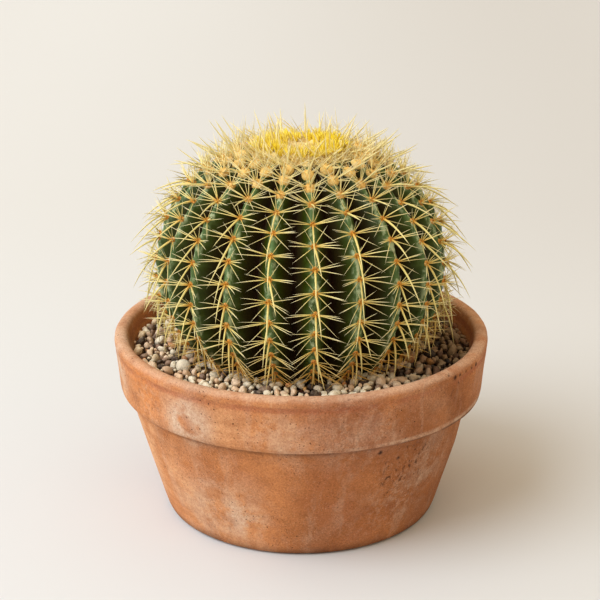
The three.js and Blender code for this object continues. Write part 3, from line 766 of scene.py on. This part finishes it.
low_turn = -math.asin(((STEM_MIDDLE - STEM_ENTRY) / STEM_HALF_HEIGHT) ** (STEM_POWER / 2))
high_turn = math.acos((CROWN_RIM_RADIUS / STEM_RADIUS) ** (STEM_POWER / 2))
turns = np.linspace(low_turn, high_turn, CREST_POINTS)
crest_radii = STEM_RADIUS * np.cos(turns) ** (2 / STEM_POWER)
crest_heights = STEM_MIDDLE + STEM_HALF_HEIGHT * np.sign(turns) * np.abs(np.sin(turns)) ** (2 / STEM_POWER)
lengths = np.concatenate([[0], np.cumsum(np.hypot(np.diff(crest_radii), np.diff(crest_heights)))])
CREST_LENGTH = lengths[-1]
crest_shares = lengths / CREST_LENGTH


def crest(along):
    """Radius and height of the crest, and the slope of each, at shares from gravel, 0, to crown, 1."""
    radius = np.interp(along, crest_shares, crest_radii)
    height = np.interp(along, crest_shares, crest_heights)
    ahead, behind = np.clip(along + NEARBY, 0, 1), np.clip(along - NEARBY, 0, 1)
    outward = np.interp(ahead, crest_shares, crest_radii) - np.interp(behind, crest_shares, crest_radii)
    upward = np.interp(ahead, crest_shares, crest_heights) - np.interp(behind, crest_shares, crest_heights)
    step = np.hypot(outward, upward)
    return radius, height, outward / step, upward / step


def round_axis(radius, turn, height):
    """Places, or ways, that lie this far from the axis, at this turn round it and at this height."""
    radius, turn, height = np.broadcast_arrays(radius, turn, height)
    return np.stack([radius * np.cos(turn), radius * np.sin(turn), height], 1)


def smooth_step(value, low, high):
    share = np.clip((value - low) / (high - low), 0, 1)
    return share * share * (3 - 2 * share)


print("a crest is", round(CREST_LENGTH), "mm long")

# %% [markdown]
# The cushions sit 13 to 15 mm apart in the middle of a rib and closer at its two ends, where it is oldest and
# youngest. From one rib to the next they are shifted by about half a step, which gives the plant its lattice.

# %% Place the cushions along the ribs
STEP_AT = [0.0, 0.1, 0.2, 0.3, 0.5, 0.78, 0.9, 1.0]
STEP_MM = [7.5, 9.5, 11.5, 13.2, 14.8, 14.2, 12.8, 8.8]
FRONT_PHASE = 0.05
SHIFT_LEFT, SHIFT_RIGHT = 0.45, 0.56
LOWEST, HIGHEST = 0.02, 0.99
MOST_STEPS = 30

walk = np.linspace(0, 1, CREST_POINTS)
steps_walked = np.cumsum(CREST_LENGTH / np.interp(walk, STEP_AT, STEP_MM))[:-1] / CREST_POINTS
step_count = np.concatenate([[0], steps_walked])


def cushions_on(rib):
    """The shares along a rib at which its cushions sit."""
    aside = rib if rib <= RIBS // 2 else rib - RIBS
    shift = SHIFT_RIGHT * aside if aside > 0 else -SHIFT_LEFT * aside
    counts = np.arange(-MOST_STEPS, MOST_STEPS) + FRONT_PHASE - shift
    shares = np.interp(counts, step_count, walk, left=-1, right=2)
    return shares[(shares > LOWEST) & (shares < HIGHEST)]


places = [(rib, share) for rib in range(RIBS) for share in cushions_on(rib)]
ribs = np.array([rib for rib, _ in places])
shares = np.array([share for _, share in places])
radius, height, slope_out, slope_up = crest(shares)
turn = FRONT_TURN + ribs * RIB_PITCH
flat_out = round_axis(1, turn, 0)
rise = np.array([0.0, 0.0, 1.0])
on_crest = flat_out * radius[:, None] + rise * height[:, None]
up_rib = flat_out * slope_out[:, None] + rise * slope_up[:, None]
off_rib = flat_out * slope_up[:, None] - rise * slope_out[:, None]
right_of_rib = np.cross(up_rib, off_rib)
print(len(places), "cushions; on the front rib at", np.round(cushions_on(0), 3))

# %% [markdown]
# ## The stem
#
# The ribs could be carved by hand, but their depth changes all the way up and each swells under every
# cushion, which no single operator gives. So a fine ball with 14 columns for each rib is added, and every
# corner of it is moved by rule. Its lower pole becomes the buried foot and the tap root, and its upper pole
# the seat of the crown. First each corner learns where it is: how far up the rib, and how far from its crest.

# %% Add the ball that becomes the stem
COLUMNS = 14
RINGS = 132
FOOT_SHARE, SEAT_SHARE = 0.05, 0.05

nothing_selected()
bpy.ops.mesh.primitive_uv_sphere_add(segments=RIBS * COLUMNS, ring_count=RINGS, radius=1)
stem = bpy.context.object
stem.name = "stem"
ball = np.array([vertex.co for vertex in stem.data.vertices])
level = np.arccos(np.clip(-ball[:, 2], -1, 1)) / math.pi
column = np.round(np.arctan2(ball[:, 1], ball[:, 0]) / (2 * math.pi) * RIBS * COLUMNS).astype(int)
rib_of = np.round(column / COLUMNS).astype(int) % RIBS
from_crest = np.abs((column + COLUMNS // 2) % COLUMNS - COLUMNS // 2) / (COLUMNS / 2)
along = (level - FOOT_SHARE) / (1 - FOOT_SHARE - SEAT_SHARE)
print("ball:", len(ball), "corners")

# %% [markdown]
# Then each corner is moved: down the crest line, in for the furrow, and out again for the swelling that
# carries a cushion, with a notch above it. The mesh also gets three marks for the shader: how near a corner
# is to the crest, how high it is on the plant, and how near it is to a cushion.

# %% Shape the stem
FURROW_SHARE = 0.6
CREST_ROUNDING = 0.2
SWELLING, NOTCH = 1.1, 0.45
FOOT_STATIONS, FOOT_HEIGHTS = [0, 0.3, 0.8, 1], [60, 84, 104, 115]
TAP_ROOT_RADII = [0, 14, 64]
FOOT_SPREAD = 34
MARK_REACH = 4.5


def furrow_depth(along, radius):
    fade = 0.45 + 0.55 * smooth_step(along, 0, 0.12)
    return FURROW_SHARE * RIB_PITCH * radius * fade * (1 - smooth_step(along, 0.88, 1.02))


radius, height, slope_out, slope_up = crest(np.clip(along, 0, 1))
rounding = math.sqrt(1 + CREST_ROUNDING ** 2) - CREST_ROUNDING
side = (np.sqrt(from_crest ** 2 + CREST_ROUNDING ** 2) - CREST_ROUNDING) / rounding
depth = furrow_depth(np.clip(along, 0, 1), radius) * side
nearest = np.zeros(len(ball))
for rib in range(RIBS):
    mine = rib_of == rib
    gaps = (along[mine, None] - cushions_on(rib)[None]) * CREST_LENGTH
    swell = np.exp(-((gaps + 2.0) / 4.2) ** 2) - NOTCH * np.exp(-((gaps - 4.5) / 2.4) ** 2)
    depth[mine] -= SWELLING * swell.sum(1) * (1 - from_crest[mine]) ** 1.3
    nearest[mine] = np.abs(gaps).min(1) + 12 * from_crest[mine]
radius_now = radius - depth * slope_up
height_now = height + depth * slope_out
buried = along < 0
foot_radii = TAP_ROOT_RADII + [radius_now[~buried].min() + FOOT_SPREAD]
down = np.clip(level / FOOT_SHARE, 0, 1)[buried]
radius_now[buried] = np.interp(down, FOOT_STATIONS, foot_radii)
height_now[buried] = np.interp(down, FOOT_STATIONS, FOOT_HEIGHTS)
above = along > 1
inside = np.clip((1 - level) / SEAT_SHARE, 0, 1)[above]
radius_now[above] = CROWN_RIM_RADIUS * inside
height_now[above] = np.interp(inside, [0, 1], [CROWN_SEAT, crest_heights[-1]])
way = FRONT_TURN + column * (2 * math.pi / (RIBS * COLUMNS))
moved = round_axis(radius_now, way, height_now) * MM
stem.data.vertices.foreach_set("co", moved.reshape(-1))
stem.data.update()
stem.data.shade_smooth()
by_cushion = np.exp(-(nearest / MARK_REACH) ** 2)
rib_marks = np.stack([1 - from_crest, np.clip(along, 0, 1), by_cushion, np.ones(len(ball))], 1)
marks = stem.data.color_attributes.new("rib", "FLOAT_COLOR", "POINT")
marks.data.foreach_set("color", rib_marks.reshape(-1).astype(np.float32))
print("stem:", len(stem.data.polygons), "faces, furrows up to", round(float(depth.max()), 1), "mm deep")

# %% [markdown]
# ## The skin
#
# The skin is deep green and satin, and bluer and paler on the crests, where it is waxy and scuffed. Down into
# the furrows its colour turns nearly black, which is painted shade. It could be painted by hand, but the
# marks on the mesh let the colours follow the ribs by themselves, at any angle.

# %% Make the skin
FURROW_BOTTOM_SHADE, FURROW_SIDE_SHADE, GREEN = paint(30, 12, 0), paint(40, 32, 0), paint(46, 60, 2)
WAX, BLOTCH, SCUFF = paint(94, 124, 74), paint(78, 98, 36), paint(194, 206, 160)
CORK, HALO = paint(58, 46, 22), paint(120, 140, 84)

skin, shader, place = new_finish("cactus skin", Specular_IOR_Level=0.17)
marks = add("SeparateColor", None, {0: carried_colour(shader, "rib")})
crest_share, up_share, by_cushion = marks.node.outputs
# Painted shade: the colour darkens to nearly black down into the furrows.
colour = blend(between(crest_share, 0.0, 0.3), FURROW_BOTTOM_SHADE, FURROW_SIDE_SHADE)
colour = blend(between(crest_share, 0.3, 0.75), colour, GREEN)
waxy = times(between(crest_share, 0.68, 0.97), patch_mask(place, 60, 4, 0.2, 0.6))
colour = blend(waxy, colour, WAX)
blotch = patch_mask(place, 90, 6, 0.5, 0.7)
blotch = times(blotch, between(crest_share, 0.3, 0.8, 0.0, 0.3))
colour = blend(blotch, colour, BLOTCH)
scuff = patch_mask(stretched(place, (0, 0, 0), (1, 1, 0.5)), 260, 9, 0.48, 0.62)
scuff = times(scuff, between(crest_share, 0.66, 0.95, 0.0, 0.9))
colour = blend(scuff, colour, SCUFF)
colour = blend(times(between(up_share, 0.16, 0.0), 0.55), colour, CORK)
colour = blend(times(by_cushion, 0.3), colour, HALO)
wire(colour, shader.inputs["Base Color"])
gloss = between(patch_mask(place, 150, 5, 0.3, 0.7), 0.0, 1.0, 0.0, 0.15)
gloss = plus(gloss, between(crest_share, 0.1, 0.6, 0.9, 0.36))
wire(gloss, shader.inputs["Roughness"])
roughen(shader, noise_at(place, 420.0, 4.0), 0.25, 0.4 * MM)
stem.data.materials.append(skin)
print("skin:", len(skin.node_tree.nodes), "nodes")

# %% [markdown]
# ## Spines, modelled once and copied
#
# A spine is a hard, slender awl: nearly even for half its length, then drawn out to a fine tip. It is
# modelled once, from a cylinder that is sliced into rings, each ring drawn in a little more. There are
# thousands, so each has only three to six sides and a few rings. Every copy then takes its own root,
# direction, length, bend and colour.

# %% Model one spine
def model_spine(sides, cuts):
    """A spine one long and one in radius, with a ring at each (share of length, share of thickness)."""
    nothing_selected()
    bpy.ops.mesh.primitive_cylinder_add(vertices=sides, radius=1, depth=1, location=(0, 0, 0.5))
    bpy.ops.object.transform_apply(location=True)
    bpy.ops.object.mode_set(mode="EDIT")
    for share, _ in cuts[:-1]:
        bpy.ops.mesh.select_all(action="SELECT")
        bpy.ops.mesh.bisect(plane_co=(0, 0, share), plane_no=(0, 0, 1))
    for share, thickness in cuts:
        bpy.ops.mesh.select_all(action="DESELECT")
        bpy.ops.object.mode_set(mode="OBJECT")
        for vertex in bpy.context.object.data.vertices:
            vertex.select = abs(vertex.co.z - share) < 1e-4
        bpy.ops.object.mode_set(mode="EDIT")
        bpy.ops.transform.resize(value=(thickness, thickness, 1), center_override=(0, 0, 0))
    bpy.ops.mesh.merge(type="CENTER")
    bpy.ops.mesh.select_all(action="SELECT")
    bpy.ops.mesh.quads_convert_to_tris()
    bpy.ops.object.mode_set(mode="OBJECT")
    return take_shape(bpy.context.object)


THIN_SPINE = model_spine(4, [(0.22, 0.95), (0.5, 0.78), (0.78, 0.45), (1.0, 0.0)])
STOUT_SPINE = model_spine(6, [(0.12, 1.0), (0.28, 0.96), (0.44, 0.88), (0.6, 0.74), (0.76, 0.54),
                              (0.9, 0.28), (1.0, 0.0)])
HAIR = model_spine(3, [(0.5, 0.8), (1.0, 0.0)])
print("faces of a thin spine:", len(THIN_SPINE[1]), "stout:", len(STOUT_SPINE[1]), "hair:", len(HAIR[1]))

# %% [markdown]
# One rule lays out every spine. Its centre line starts in its own direction and leans more and more towards
# its bend. The rings of the model are set across that line, so that a spine keeps its thickness where it
# curves.

# %% Grow spines from roots
def unit(vectors):
    return vectors / np.linalg.norm(vectors, axis=-1, keepdims=True)


def grow(name, shape, roots, ways, bends, lengths, radii, colours):
    """One mesh of spines. ways and bends are directions. A bend is how far a tip leaves its first line."""
    points, triangles = shape
    share = points[:, 2][None, :, None]
    line = roots[:, None] + lengths[:, None, None] * (ways[:, None] * share + bends[:, None] * share ** 2)
    heading = unit(ways[:, None] + 2 * bends[:, None] * share)
    across = unit(np.cross(ways, bends))[:, None] + 0 * heading
    other = np.cross(heading, across)
    ring = across * points[:, 0][None, :, None] + other * points[:, 1][None, :, None]
    corners = (line + ring * radii[:, None, None]) * MM
    return join_copies(name, corners, triangles, colours)


def pigment(red, green, blue):
    """A colour as an array, for the colours that a mesh carries."""
    return np.array(paint(red, green, blue))


def spine_colours(shape, young, old, luck, paler=0.8):
    """Orange-brown at the cushion, straw-yellow beyond it. Lemon when young, and golden when old."""
    share = shape[0][:, 2][None, :, None]
    straw, lemon, golden = pigment(245, 229, 138), pigment(255, 242, 168), pigment(238, 184, 84)
    root, pale = pigment(236, 170, 44), pigment(255, 248, 210)
    young, old, luck = (values[:, None, None] for values in (young, old, luck))
    colour = straw + (lemon - straw) * young
    colour = colour + (golden - colour) * old
    colour = colour + (root - colour) * (0.9 - 0.6 * young) * (1 - smooth_step(share, 0.02, 0.28))
    colour = colour + (pale - colour) * paler * (1 - old) * smooth_step(share, 0.25, 0.95)
    colour[..., :3] *= luck
    return colour


spine_finish, shader, place = new_finish("spines", Roughness=0.5, Specular_IOR_Level=0.4)
banding = times(patch_mask(place, 700, 3, 0.35, 0.7), 0.12)
colour = blend(banding, carried_colour(shader, "tone"), paint(190, 130, 54))
wire(colour, shader.inputs["Base Color"])
print("spine finish:", len(spine_finish.node_tree.nodes), "nodes")

# %% [markdown]
# ## The spines of the cushions
#
# Each cushion bears about a dozen spines: one stout central spine that curves down, two strong pairs to the
# sides, thinner pairs slanting down, and a few short ones that point up. On the young cushions by the crown
# they stand up and reach outwards, and on the oldest ones they hang towards the gravel. A table says how each
# kind leaves its cushion, and a rule with a little chance in it does the rest.

# %% Lay out the spines of a cushion
# Each row: heading (0 right, 90 up the rib) and lift off the rib in degrees, length in mm when old and when
# young, radius in mm, and bend down.
SIDE_SPINES = [
    (3, 35, 22.5, 21.0, 0.40, 0.03), (177, 35, 22.5, 21.0, 0.40, 0.03),
    (-6, 29, 22.0, 20.0, 0.41, 0.04), (186, 29, 22.0, 20.0, 0.41, 0.04),
    (10, 24, 18.0, 20.0, 0.32, 0.02), (170, 24, 18.0, 20.0, 0.32, 0.02),
    (-43, 18, 20.0, 17.0, 0.28, 0.01), (223, 18, 19.0, 17.0, 0.28, 0.01),
    (54, 35, 16.0, 22.0, 0.26, 0.01), (124, 35, 13.0, 22.0, 0.26, 0.01),
    (90, 60, 11.0, 21.0, 0.26, 0.01),
]
YOUNG_SPINES = [
    (28, 30, 20.0, 22.0, 0.28, 0.01), (152, 30, 20.0, 22.0, 0.28, 0.01), (-28, 28, 16.0, 17.0, 0.28, 0.01),
    (208, 28, 16.0, 17.0, 0.28, 0.01), (80, 50, 18.0, 20.0, 0.32, 0.01),
]
CENTRAL_SPINE = (270, 45, 22.5, 22.5, 0.68, 0.5)
CENTRAL_YOUNG = (268, 58, 22.0, 24.0, 0.58, 0.02)
TOP_LIMIT, SIDE_LIMIT, GRAVEL_LIMIT = 282.2, 128.5, 117.0

chance = np.random.default_rng(21)
young = smooth_step(shares, 0.66, 0.97)
topmost = smooth_step(shares, 0.8, 1.0)
old = smooth_step(-shares, -0.30, -0.02)


def spread(spec, lift_young, where=slice(None), loose=5.0):
    """Turns one row into a direction, length, bend and radius on the cushions that bear it."""
    heading, lift, length, length_young, radius, bend = spec
    fresh, top = young[where], topmost[where]
    count = len(fresh)
    heading = np.radians(heading + chance.normal(0, loose, count))
    lift = np.radians(np.clip(lift + lift_young * top + chance.normal(0, loose, count), 3, 84))
    flat = np.cos(heading)[:, None] * right_of_rib[where] + np.sin(heading)[:, None] * up_rib[where]
    ways = flat * np.cos(lift)[:, None] + off_rib[where] * np.sin(lift)[:, None]
    length = (length + (length_young - length) * fresh) * chance.uniform(0.84, 1.12, count)
    down = -up_rib[where] * (1 - fresh)[:, None] * bend - off_rib[where] * 0.2 * bend
    bends = down + rise * 0.1 * fresh[:, None] + 0.03 * chance.normal(0, 1, (count, 3))
    return ways, bends, length, radius * chance.uniform(0.85, 1.12, count)


def fit_inside(roots, ways, bends, length):
    """Shortens a spine whose tip would leave the size of the frame or reach into the gravel."""
    for _ in range(12):
        tips = roots + length[:, None] * (ways + bends)
        too_wide = np.hypot(tips[:, 0], tips[:, 1]) > SIDE_LIMIT
        far = (tips[:, 2] > TOP_LIMIT) | too_wide | (tips[:, 2] < GRAVEL_LIMIT)
        length = np.where(far, length * 0.9, length)
    return length


print("spines of a cushion:", len(SIDE_SPINES) + 1, "and by the crown", len(YOUNG_SPINES), "more")

# %% [markdown]
# Not every cushion bears them all: some are missing near the crown and on the oldest cushions, where those
# that are left are thinner too.

# %% Grow the side spines
YOUNG_FROM = 0.76
MISSING_ON_TOP, MISSING_WHEN_OLD = 0.55, 0.4
THINNER_WHEN_OLD = 0.22

missing = np.maximum(MISSING_ON_TOP * topmost, MISSING_WHEN_OLD * old)
grown = []
for rows, borne_from, loose in [(SIDE_SPINES, 0, 4), (YOUNG_SPINES, YOUNG_FROM, 11)]:
    for spec in rows:
        bearing = (shares >= borne_from) & (chance.uniform(0, 1, len(shares)) > missing)
        ways, bends, length, radii = spread(spec, 5, bearing, loose)
        roots = on_crest[bearing] + off_rib[bearing] * 0.3 + ways * 0.8
        length = fit_inside(roots, ways, bends, length)
        radii = radii * (1 - THINNER_WHEN_OLD * old[bearing])
        luck = chance.uniform(0.86, 1.1, len(roots))
        tones = spine_colours(THIN_SPINE, young[bearing], old[bearing], luck)
        grown.append(grow("spines", THIN_SPINE, roots, ways, bends, length, radii, tones))
side_spines = joined("side_spines", grown, spine_finish)

# %% [markdown]
# The central spine is the one that is seen from a step away: on the lower two thirds it leaves its cushion
# outwards and curves down over the next two, and near the crown it is straight and points up and out.

# %% Grow the central spines
ways_old, bends_old, length_old, radii = spread(CENTRAL_SPINE, 0, loose=8)
bends_old *= chance.uniform(0.6, 1.3, (len(shares), 1))
ways_new, bends_new, length_new, _ = spread(CENTRAL_YOUNG, 0, loose=13)
turned_up = smooth_step(shares, 0.72, 0.9)[:, None]
ways = unit(ways_old * (1 - turned_up) + ways_new * turned_up)
sideways = right_of_rib * chance.normal(0, 0.10, len(shares))[:, None]
bends = bends_old * (1 - turned_up) + bends_new * turned_up + sideways
length = length_old * (1 - turned_up[:, 0]) + length_new * turned_up[:, 0]
roots = on_crest + off_rib * 0.6
length = fit_inside(roots, ways, bends, length)
luck = chance.uniform(0.85, 1.02, len(shares))
tones = spine_colours(STOUT_SPINE, young, old * 0.8, luck, paler=0.3)
centrals = grow("central", STOUT_SPINE, roots, ways, bends, length, radii, tones)
central_spines = joined("central_spines", [centrals], spine_finish)

# %% [markdown]
# ## The cushions
#
# Each areole is a small cushion of felt: tan and orange, darker and worn flat low on the plant, larger and
# woollier towards the crown. Hair particles would be slow to copy so often, so a flattened ball gives the
# pad, and short hairs all over it, grown by the rule of the spines, make its soft outline.

# %% Make the pads of the cushions
def model_pad():
    nothing_selected()
    bpy.ops.mesh.primitive_ico_sphere_add(subdivisions=2, radius=1)
    bpy.ops.object.mode_set(mode="EDIT")
    bpy.ops.mesh.select_all(action="SELECT")
    bpy.ops.transform.vertex_random(offset=0.12, seed=4)
    bpy.ops.object.mode_set(mode="OBJECT")
    return take_shape(bpy.context.object)


PAD = model_pad()
FELT_TAN, FELT_ORANGE, FELT_OLD = pigment(248, 212, 128), pigment(228, 148, 42), pigment(196, 118, 40)
woolly = smooth_step(shares, 0.72, 0.97)
pad_sizes = np.stack([1.9 + 2.5 * woolly, 2.3 + 2.9 * woolly, 1.1 + 2.4 * woolly], 1)
pad_axes = np.stack([right_of_rib, up_rib, off_rib], 1)


def on_pads(local, which):
    """Places in the cushions' own directions, right, up and off, turned into places on the plant."""
    sizes, axes, middles = pad_sizes[which], pad_axes[which], on_crest[which]
    if local.ndim == 3:
        sizes, axes, middles = sizes[:, None], axes[:, None], middles[:, None]
    return middles + np.einsum("...i,...ij->...j", local * sizes, axes)


every = np.arange(len(shares))
felt = FELT_TAN + (FELT_ORANGE - FELT_TAN) * (1 - young)[:, None] * 0.95
felt = felt + (FELT_OLD - felt) * (old * 0.7)[:, None]
felt[:, :3] *= chance.uniform(0.85, 1.15, (len(shares), 1))
corners = on_pads(np.repeat(PAD[0][None], len(shares), 0), every) * MM
pads = join_copies("pads", corners, PAD[1], np.repeat(felt[:, None], len(PAD[0]), axis=1))
print("pads from", np.round(pad_sizes.min(0) * 2, 1), "to", np.round(pad_sizes.max(0) * 2, 1), "mm")

# %% [markdown]
# The hairs stand out on all sides of a pad, a little longer on the young ones. The wool of the crown is the
# same stuff, so it shares the finish of the felt.

# %% Cover the pads with short hairs
HAIRS_PER_CUSHION = 34
PAD_HAIR_RADIUS = 0.14

which = np.repeat(every, HAIRS_PER_CUSHION)
ball_way = unit(chance.normal(0, 1, (len(which), 3)) + [0, 0, 0.7])
ball_way[:, 2] = np.abs(ball_way[:, 2])
roots = on_pads(ball_way * 0.85, which)
ways = unit(np.einsum("ni,nij->nj", ball_way + [0, 0, 0.5], pad_axes[which]))
bends = 0.35 * chance.normal(0, 1, (len(which), 3))
length = (0.9 + 2.4 * young[which]) * chance.uniform(0.7, 1.3, len(which))
tones = np.repeat(felt[which][:, None] * 1.15, len(HAIR[0]), axis=1)
radii = np.full(len(which), PAD_HAIR_RADIUS)
hairs = grow("hairs", HAIR, roots, ways, bends, length, radii, tones)
felt_finish, shader, place = new_finish("felt", Roughness=0.95, Specular_IOR_Level=0.1)
fluff = patch_mask(place, 900, 4, 0.35, 0.65)
colour = blend(times(fluff, 0.35), carried_colour(shader, "tone"), paint(248, 224, 158))
wire(colour, shader.inputs["Base Color"])
roughen(shader, fluff, 0.6, 0.4 * MM)
cushions = joined("cushions", [pads, hairs], felt_finish)
for piece in (stem, side_spines, central_spines, cushions):
    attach(piece, "root")
    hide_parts("cactus")

# %% [markdown]
# ## The woolly crown
#
# In the middle of the top the youngest cushions have grown into one pad of wool with a wide, shallow hollow,
# out of which the new spines push. Towards the stem it runs out in lobes, one on each rib. It could be
# sculpted, but a flattened ball whose corners follow one curve, with noise for the lumps, is easy to correct.

# %% Make the pad of wool
CROWN_RADIUS, HOLLOW_RADIUS = 37.0, 14.0
CROWN_LIFT, CROWN_DOME, HOLLOW_DEPTH = 1.6, 5.2, 4.6
LUMP_HEIGHT = 2.2
LOBES = 0.07
# The darker wool serves as a tone of the hairs and as painted shade in the hollow and between the lumps.
PALE_WOOL, DARK_WOOL_AND_SHADE = pigment(255, 235, 166), pigment(220, 168, 94)


def crown_height(out):
    """Height of the wool at a distance from the middle."""
    dome = CROWN_DOME * np.cos(math.pi / 2 * np.clip(out / CROWN_RADIUS, 0, 1) ** 2.4)
    return CROWN_SEAT + CROWN_LIFT + dome - HOLLOW_DEPTH * np.exp(-(out / HOLLOW_RADIUS) ** 2)


nothing_selected()
bpy.ops.mesh.primitive_uv_sphere_add(segments=96, ring_count=48, radius=1)
wool = bpy.context.object
wool.name = "crown_wool_pad"
lumps = np.zeros(len(wool.data.vertices))
for vertex in wool.data.vertices:
    out = math.hypot(vertex.co.x, vertex.co.y)
    on_rib = math.cos(RIBS * (math.atan2(vertex.co.y, vertex.co.x) - FRONT_TURN))
    lumps[vertex.index] = noise.noise(Vector((vertex.co.x * 7, vertex.co.y * 7, 3)))
    if vertex.co.z >= 0:
        lump = LUMP_HEIGHT * lumps[vertex.index] * (1 - out ** 6)
        vertex.co.z = (crown_height(out * CROWN_RADIUS) + lump) * MM
    else:
        vertex.co.z = (CROWN_SEAT + 2.0 + 1.6 * vertex.co.z) * MM
    vertex.co.xy *= (1 + LOBES * out ** 4 * on_rib) * CROWN_RADIUS * MM
wool.data.shade_smooth()
out = np.array([vertex.co.xy.length / MM for vertex in wool.data.vertices])
# Painted shade: the wool is darker in the hollow and in the dips between its lumps.
painted_hollow_shade = np.clip(0.7 * np.exp(-(out / (HOLLOW_RADIUS * 0.6)) ** 2) + 0.1 - 1.1 * lumps, 0, 1)[:, None]
tone = wool.data.color_attributes.new("tone", "FLOAT_COLOR", "POINT")
tone.data.foreach_set("color", (PALE_WOOL + (DARK_WOOL_AND_SHADE - PALE_WOOL) * painted_hollow_shade).reshape(-1).astype(np.float32))
wool.data.materials.append(felt_finish)
print("wool:", len(wool.data.polygons), "faces")

# %% [markdown]
# Thousands of curly hairs hide the smooth surface of the pad. They use the same rule as the spines, with
# wider bends, and are longest in the middle of the hollow and at the rim.

# %% Cover the crown with hairs
WOOL_HAIRS = 6000
WOOL_HAIR_RADIUS = 0.16
HAIR_AT, HAIR_MM = [0, 12, 26, 38], [3.0, 1.8, 2.2, 4.2]

chance = np.random.default_rng(8)
out = CROWN_RADIUS * 1.03 * np.sqrt(chance.uniform(0, 1, WOOL_HAIRS)) ** 0.85
turn = chance.uniform(0, 2 * math.pi, WOOL_HAIRS)
roots = round_axis(out, turn, crown_height(out) - 0.4)
outward = 1.6 * (out / CROWN_RADIUS) ** 5 + 0.3
upright = round_axis(outward, turn, 0.8)
ways = unit(upright + 0.45 * chance.normal(0, 1, (WOOL_HAIRS, 3)))
bends = 0.45 * chance.normal(0, 1, (WOOL_HAIRS, 3))
tones = PALE_WOOL + (DARK_WOOL_AND_SHADE - PALE_WOOL) * chance.uniform(0, 0.5, (WOOL_HAIRS, 1)) ** 2
tones = np.repeat(tones[:, None], len(HAIR[0]), axis=1)
length = chance.uniform(0.75, 1.4, WOOL_HAIRS) * np.interp(out, HAIR_AT, HAIR_MM)
radii = np.full(WOOL_HAIRS, WOOL_HAIR_RADIUS)
crown_hairs = grow("crown_hairs", HAIR, roots, ways, bends, length, radii, tones)
crown_hairs = joined("crown_wool_hairs", [crown_hairs], felt_finish)

# %% [markdown]
# The young spines stand in tufts on a sunflower spiral, the pattern that the plant itself grows in: short,
# upright and bright lemon yellow round the hollow, longer, paler and leaning out towards the ribs. Only a few
# are left outside the yellow ring, and here and there one of them is tall already.

# %% Grow the young spines
GOLDEN_TURN = math.pi * (3 - math.sqrt(5))
CROWN_TUFTS, SPINES_PER_TUFT = 110, 16
INNERMOST = 12.0
SPINE_AT, SPINE_LEAN_DEG, SPINE_MM = [11, 20, 28, 37], [-8, 12, 34, 54], [5.5, 7.5, 9, 18]
RING_FADES_FROM, RING_FADES_TO = 26, 31
TALL_SHARE, TALL_LEAST, TALL_MOST = 0.03, 16, 25
BRIGHT = pigment(255, 232, 12)

tuft = np.arange(CROWN_TUFTS)
tuft_out = INNERMOST + (CROWN_RADIUS - INNERMOST) * np.sqrt((tuft + 0.5) / CROWN_TUFTS)
which = np.repeat(tuft, SPINES_PER_TUFT)
out, turn = tuft_out[which], (tuft * GOLDEN_TURN)[which]
around = chance.uniform(0, 2 * math.pi, len(which))
away = chance.uniform(0.2, 1.6, len(which))
roots = round_axis(out, turn, 0) + round_axis(away, around, 0)
roots[:, 2] = crown_height(np.hypot(roots[:, 0], roots[:, 1])) - 0.5
fresh = 1 - smooth_step(out, RING_FADES_FROM, RING_FADES_TO)
fresh = fresh * chance.uniform(0.72, 1.0, CROWN_TUFTS)[which]
lean = np.radians(np.interp(out, SPINE_AT, SPINE_LEAN_DEG))
leaning = round_axis(np.sin(lean), turn, np.cos(lean))
splay = round_axis(1, around, 0) * (0.85 - 0.6 * fresh)[:, None]
tipped = 0.3 * chance.normal(0, 1, (CROWN_TUFTS, 3))[which]
ways = unit(leaning + splay + tipped + 0.15 * chance.normal(0, 1, (len(which), 3)))
length = np.interp(out, SPINE_AT, SPINE_MM) * chance.uniform(0.7, 1.25, len(which))
kept = chance.uniform(0, 1, len(which)) < 0.08 + 0.92 * fresh
tall = chance.uniform(0, 1, len(which)) < TALL_SHARE
length = np.where(tall, chance.uniform(TALL_LEAST, TALL_MOST, len(which)), length)
fresh = np.where(tall, 0.1, fresh)
kept = kept | tall
roots, ways, length, fresh, tall = (values[kept] for values in (roots, ways, length, fresh, tall))
bends = 0.04 * chance.normal(0, 1, (len(roots), 3)) + [0, 0, 0.04]
length = fit_inside(roots, ways, bends, length)
luck = chance.uniform(0.9, 1.08, len(roots))
tones = spine_colours(THIN_SPINE, np.ones(len(roots)), np.zeros(len(roots)), luck)
tones = tones + (BRIGHT - tones) * (0.97 * fresh[:, None, None])
radii = (0.34 + 0.34 * fresh + 0.3 * tall) * chance.uniform(0.8, 1.25, len(roots))
young_spines = grow("young", THIN_SPINE, roots, ways, bends, length, radii, tones)
young_spines = joined("young_spines", [young_spines], spine_finish)
for piece in (wool, crown_hairs, young_spines):
    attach(piece, "root")
    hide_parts("crown_wool")
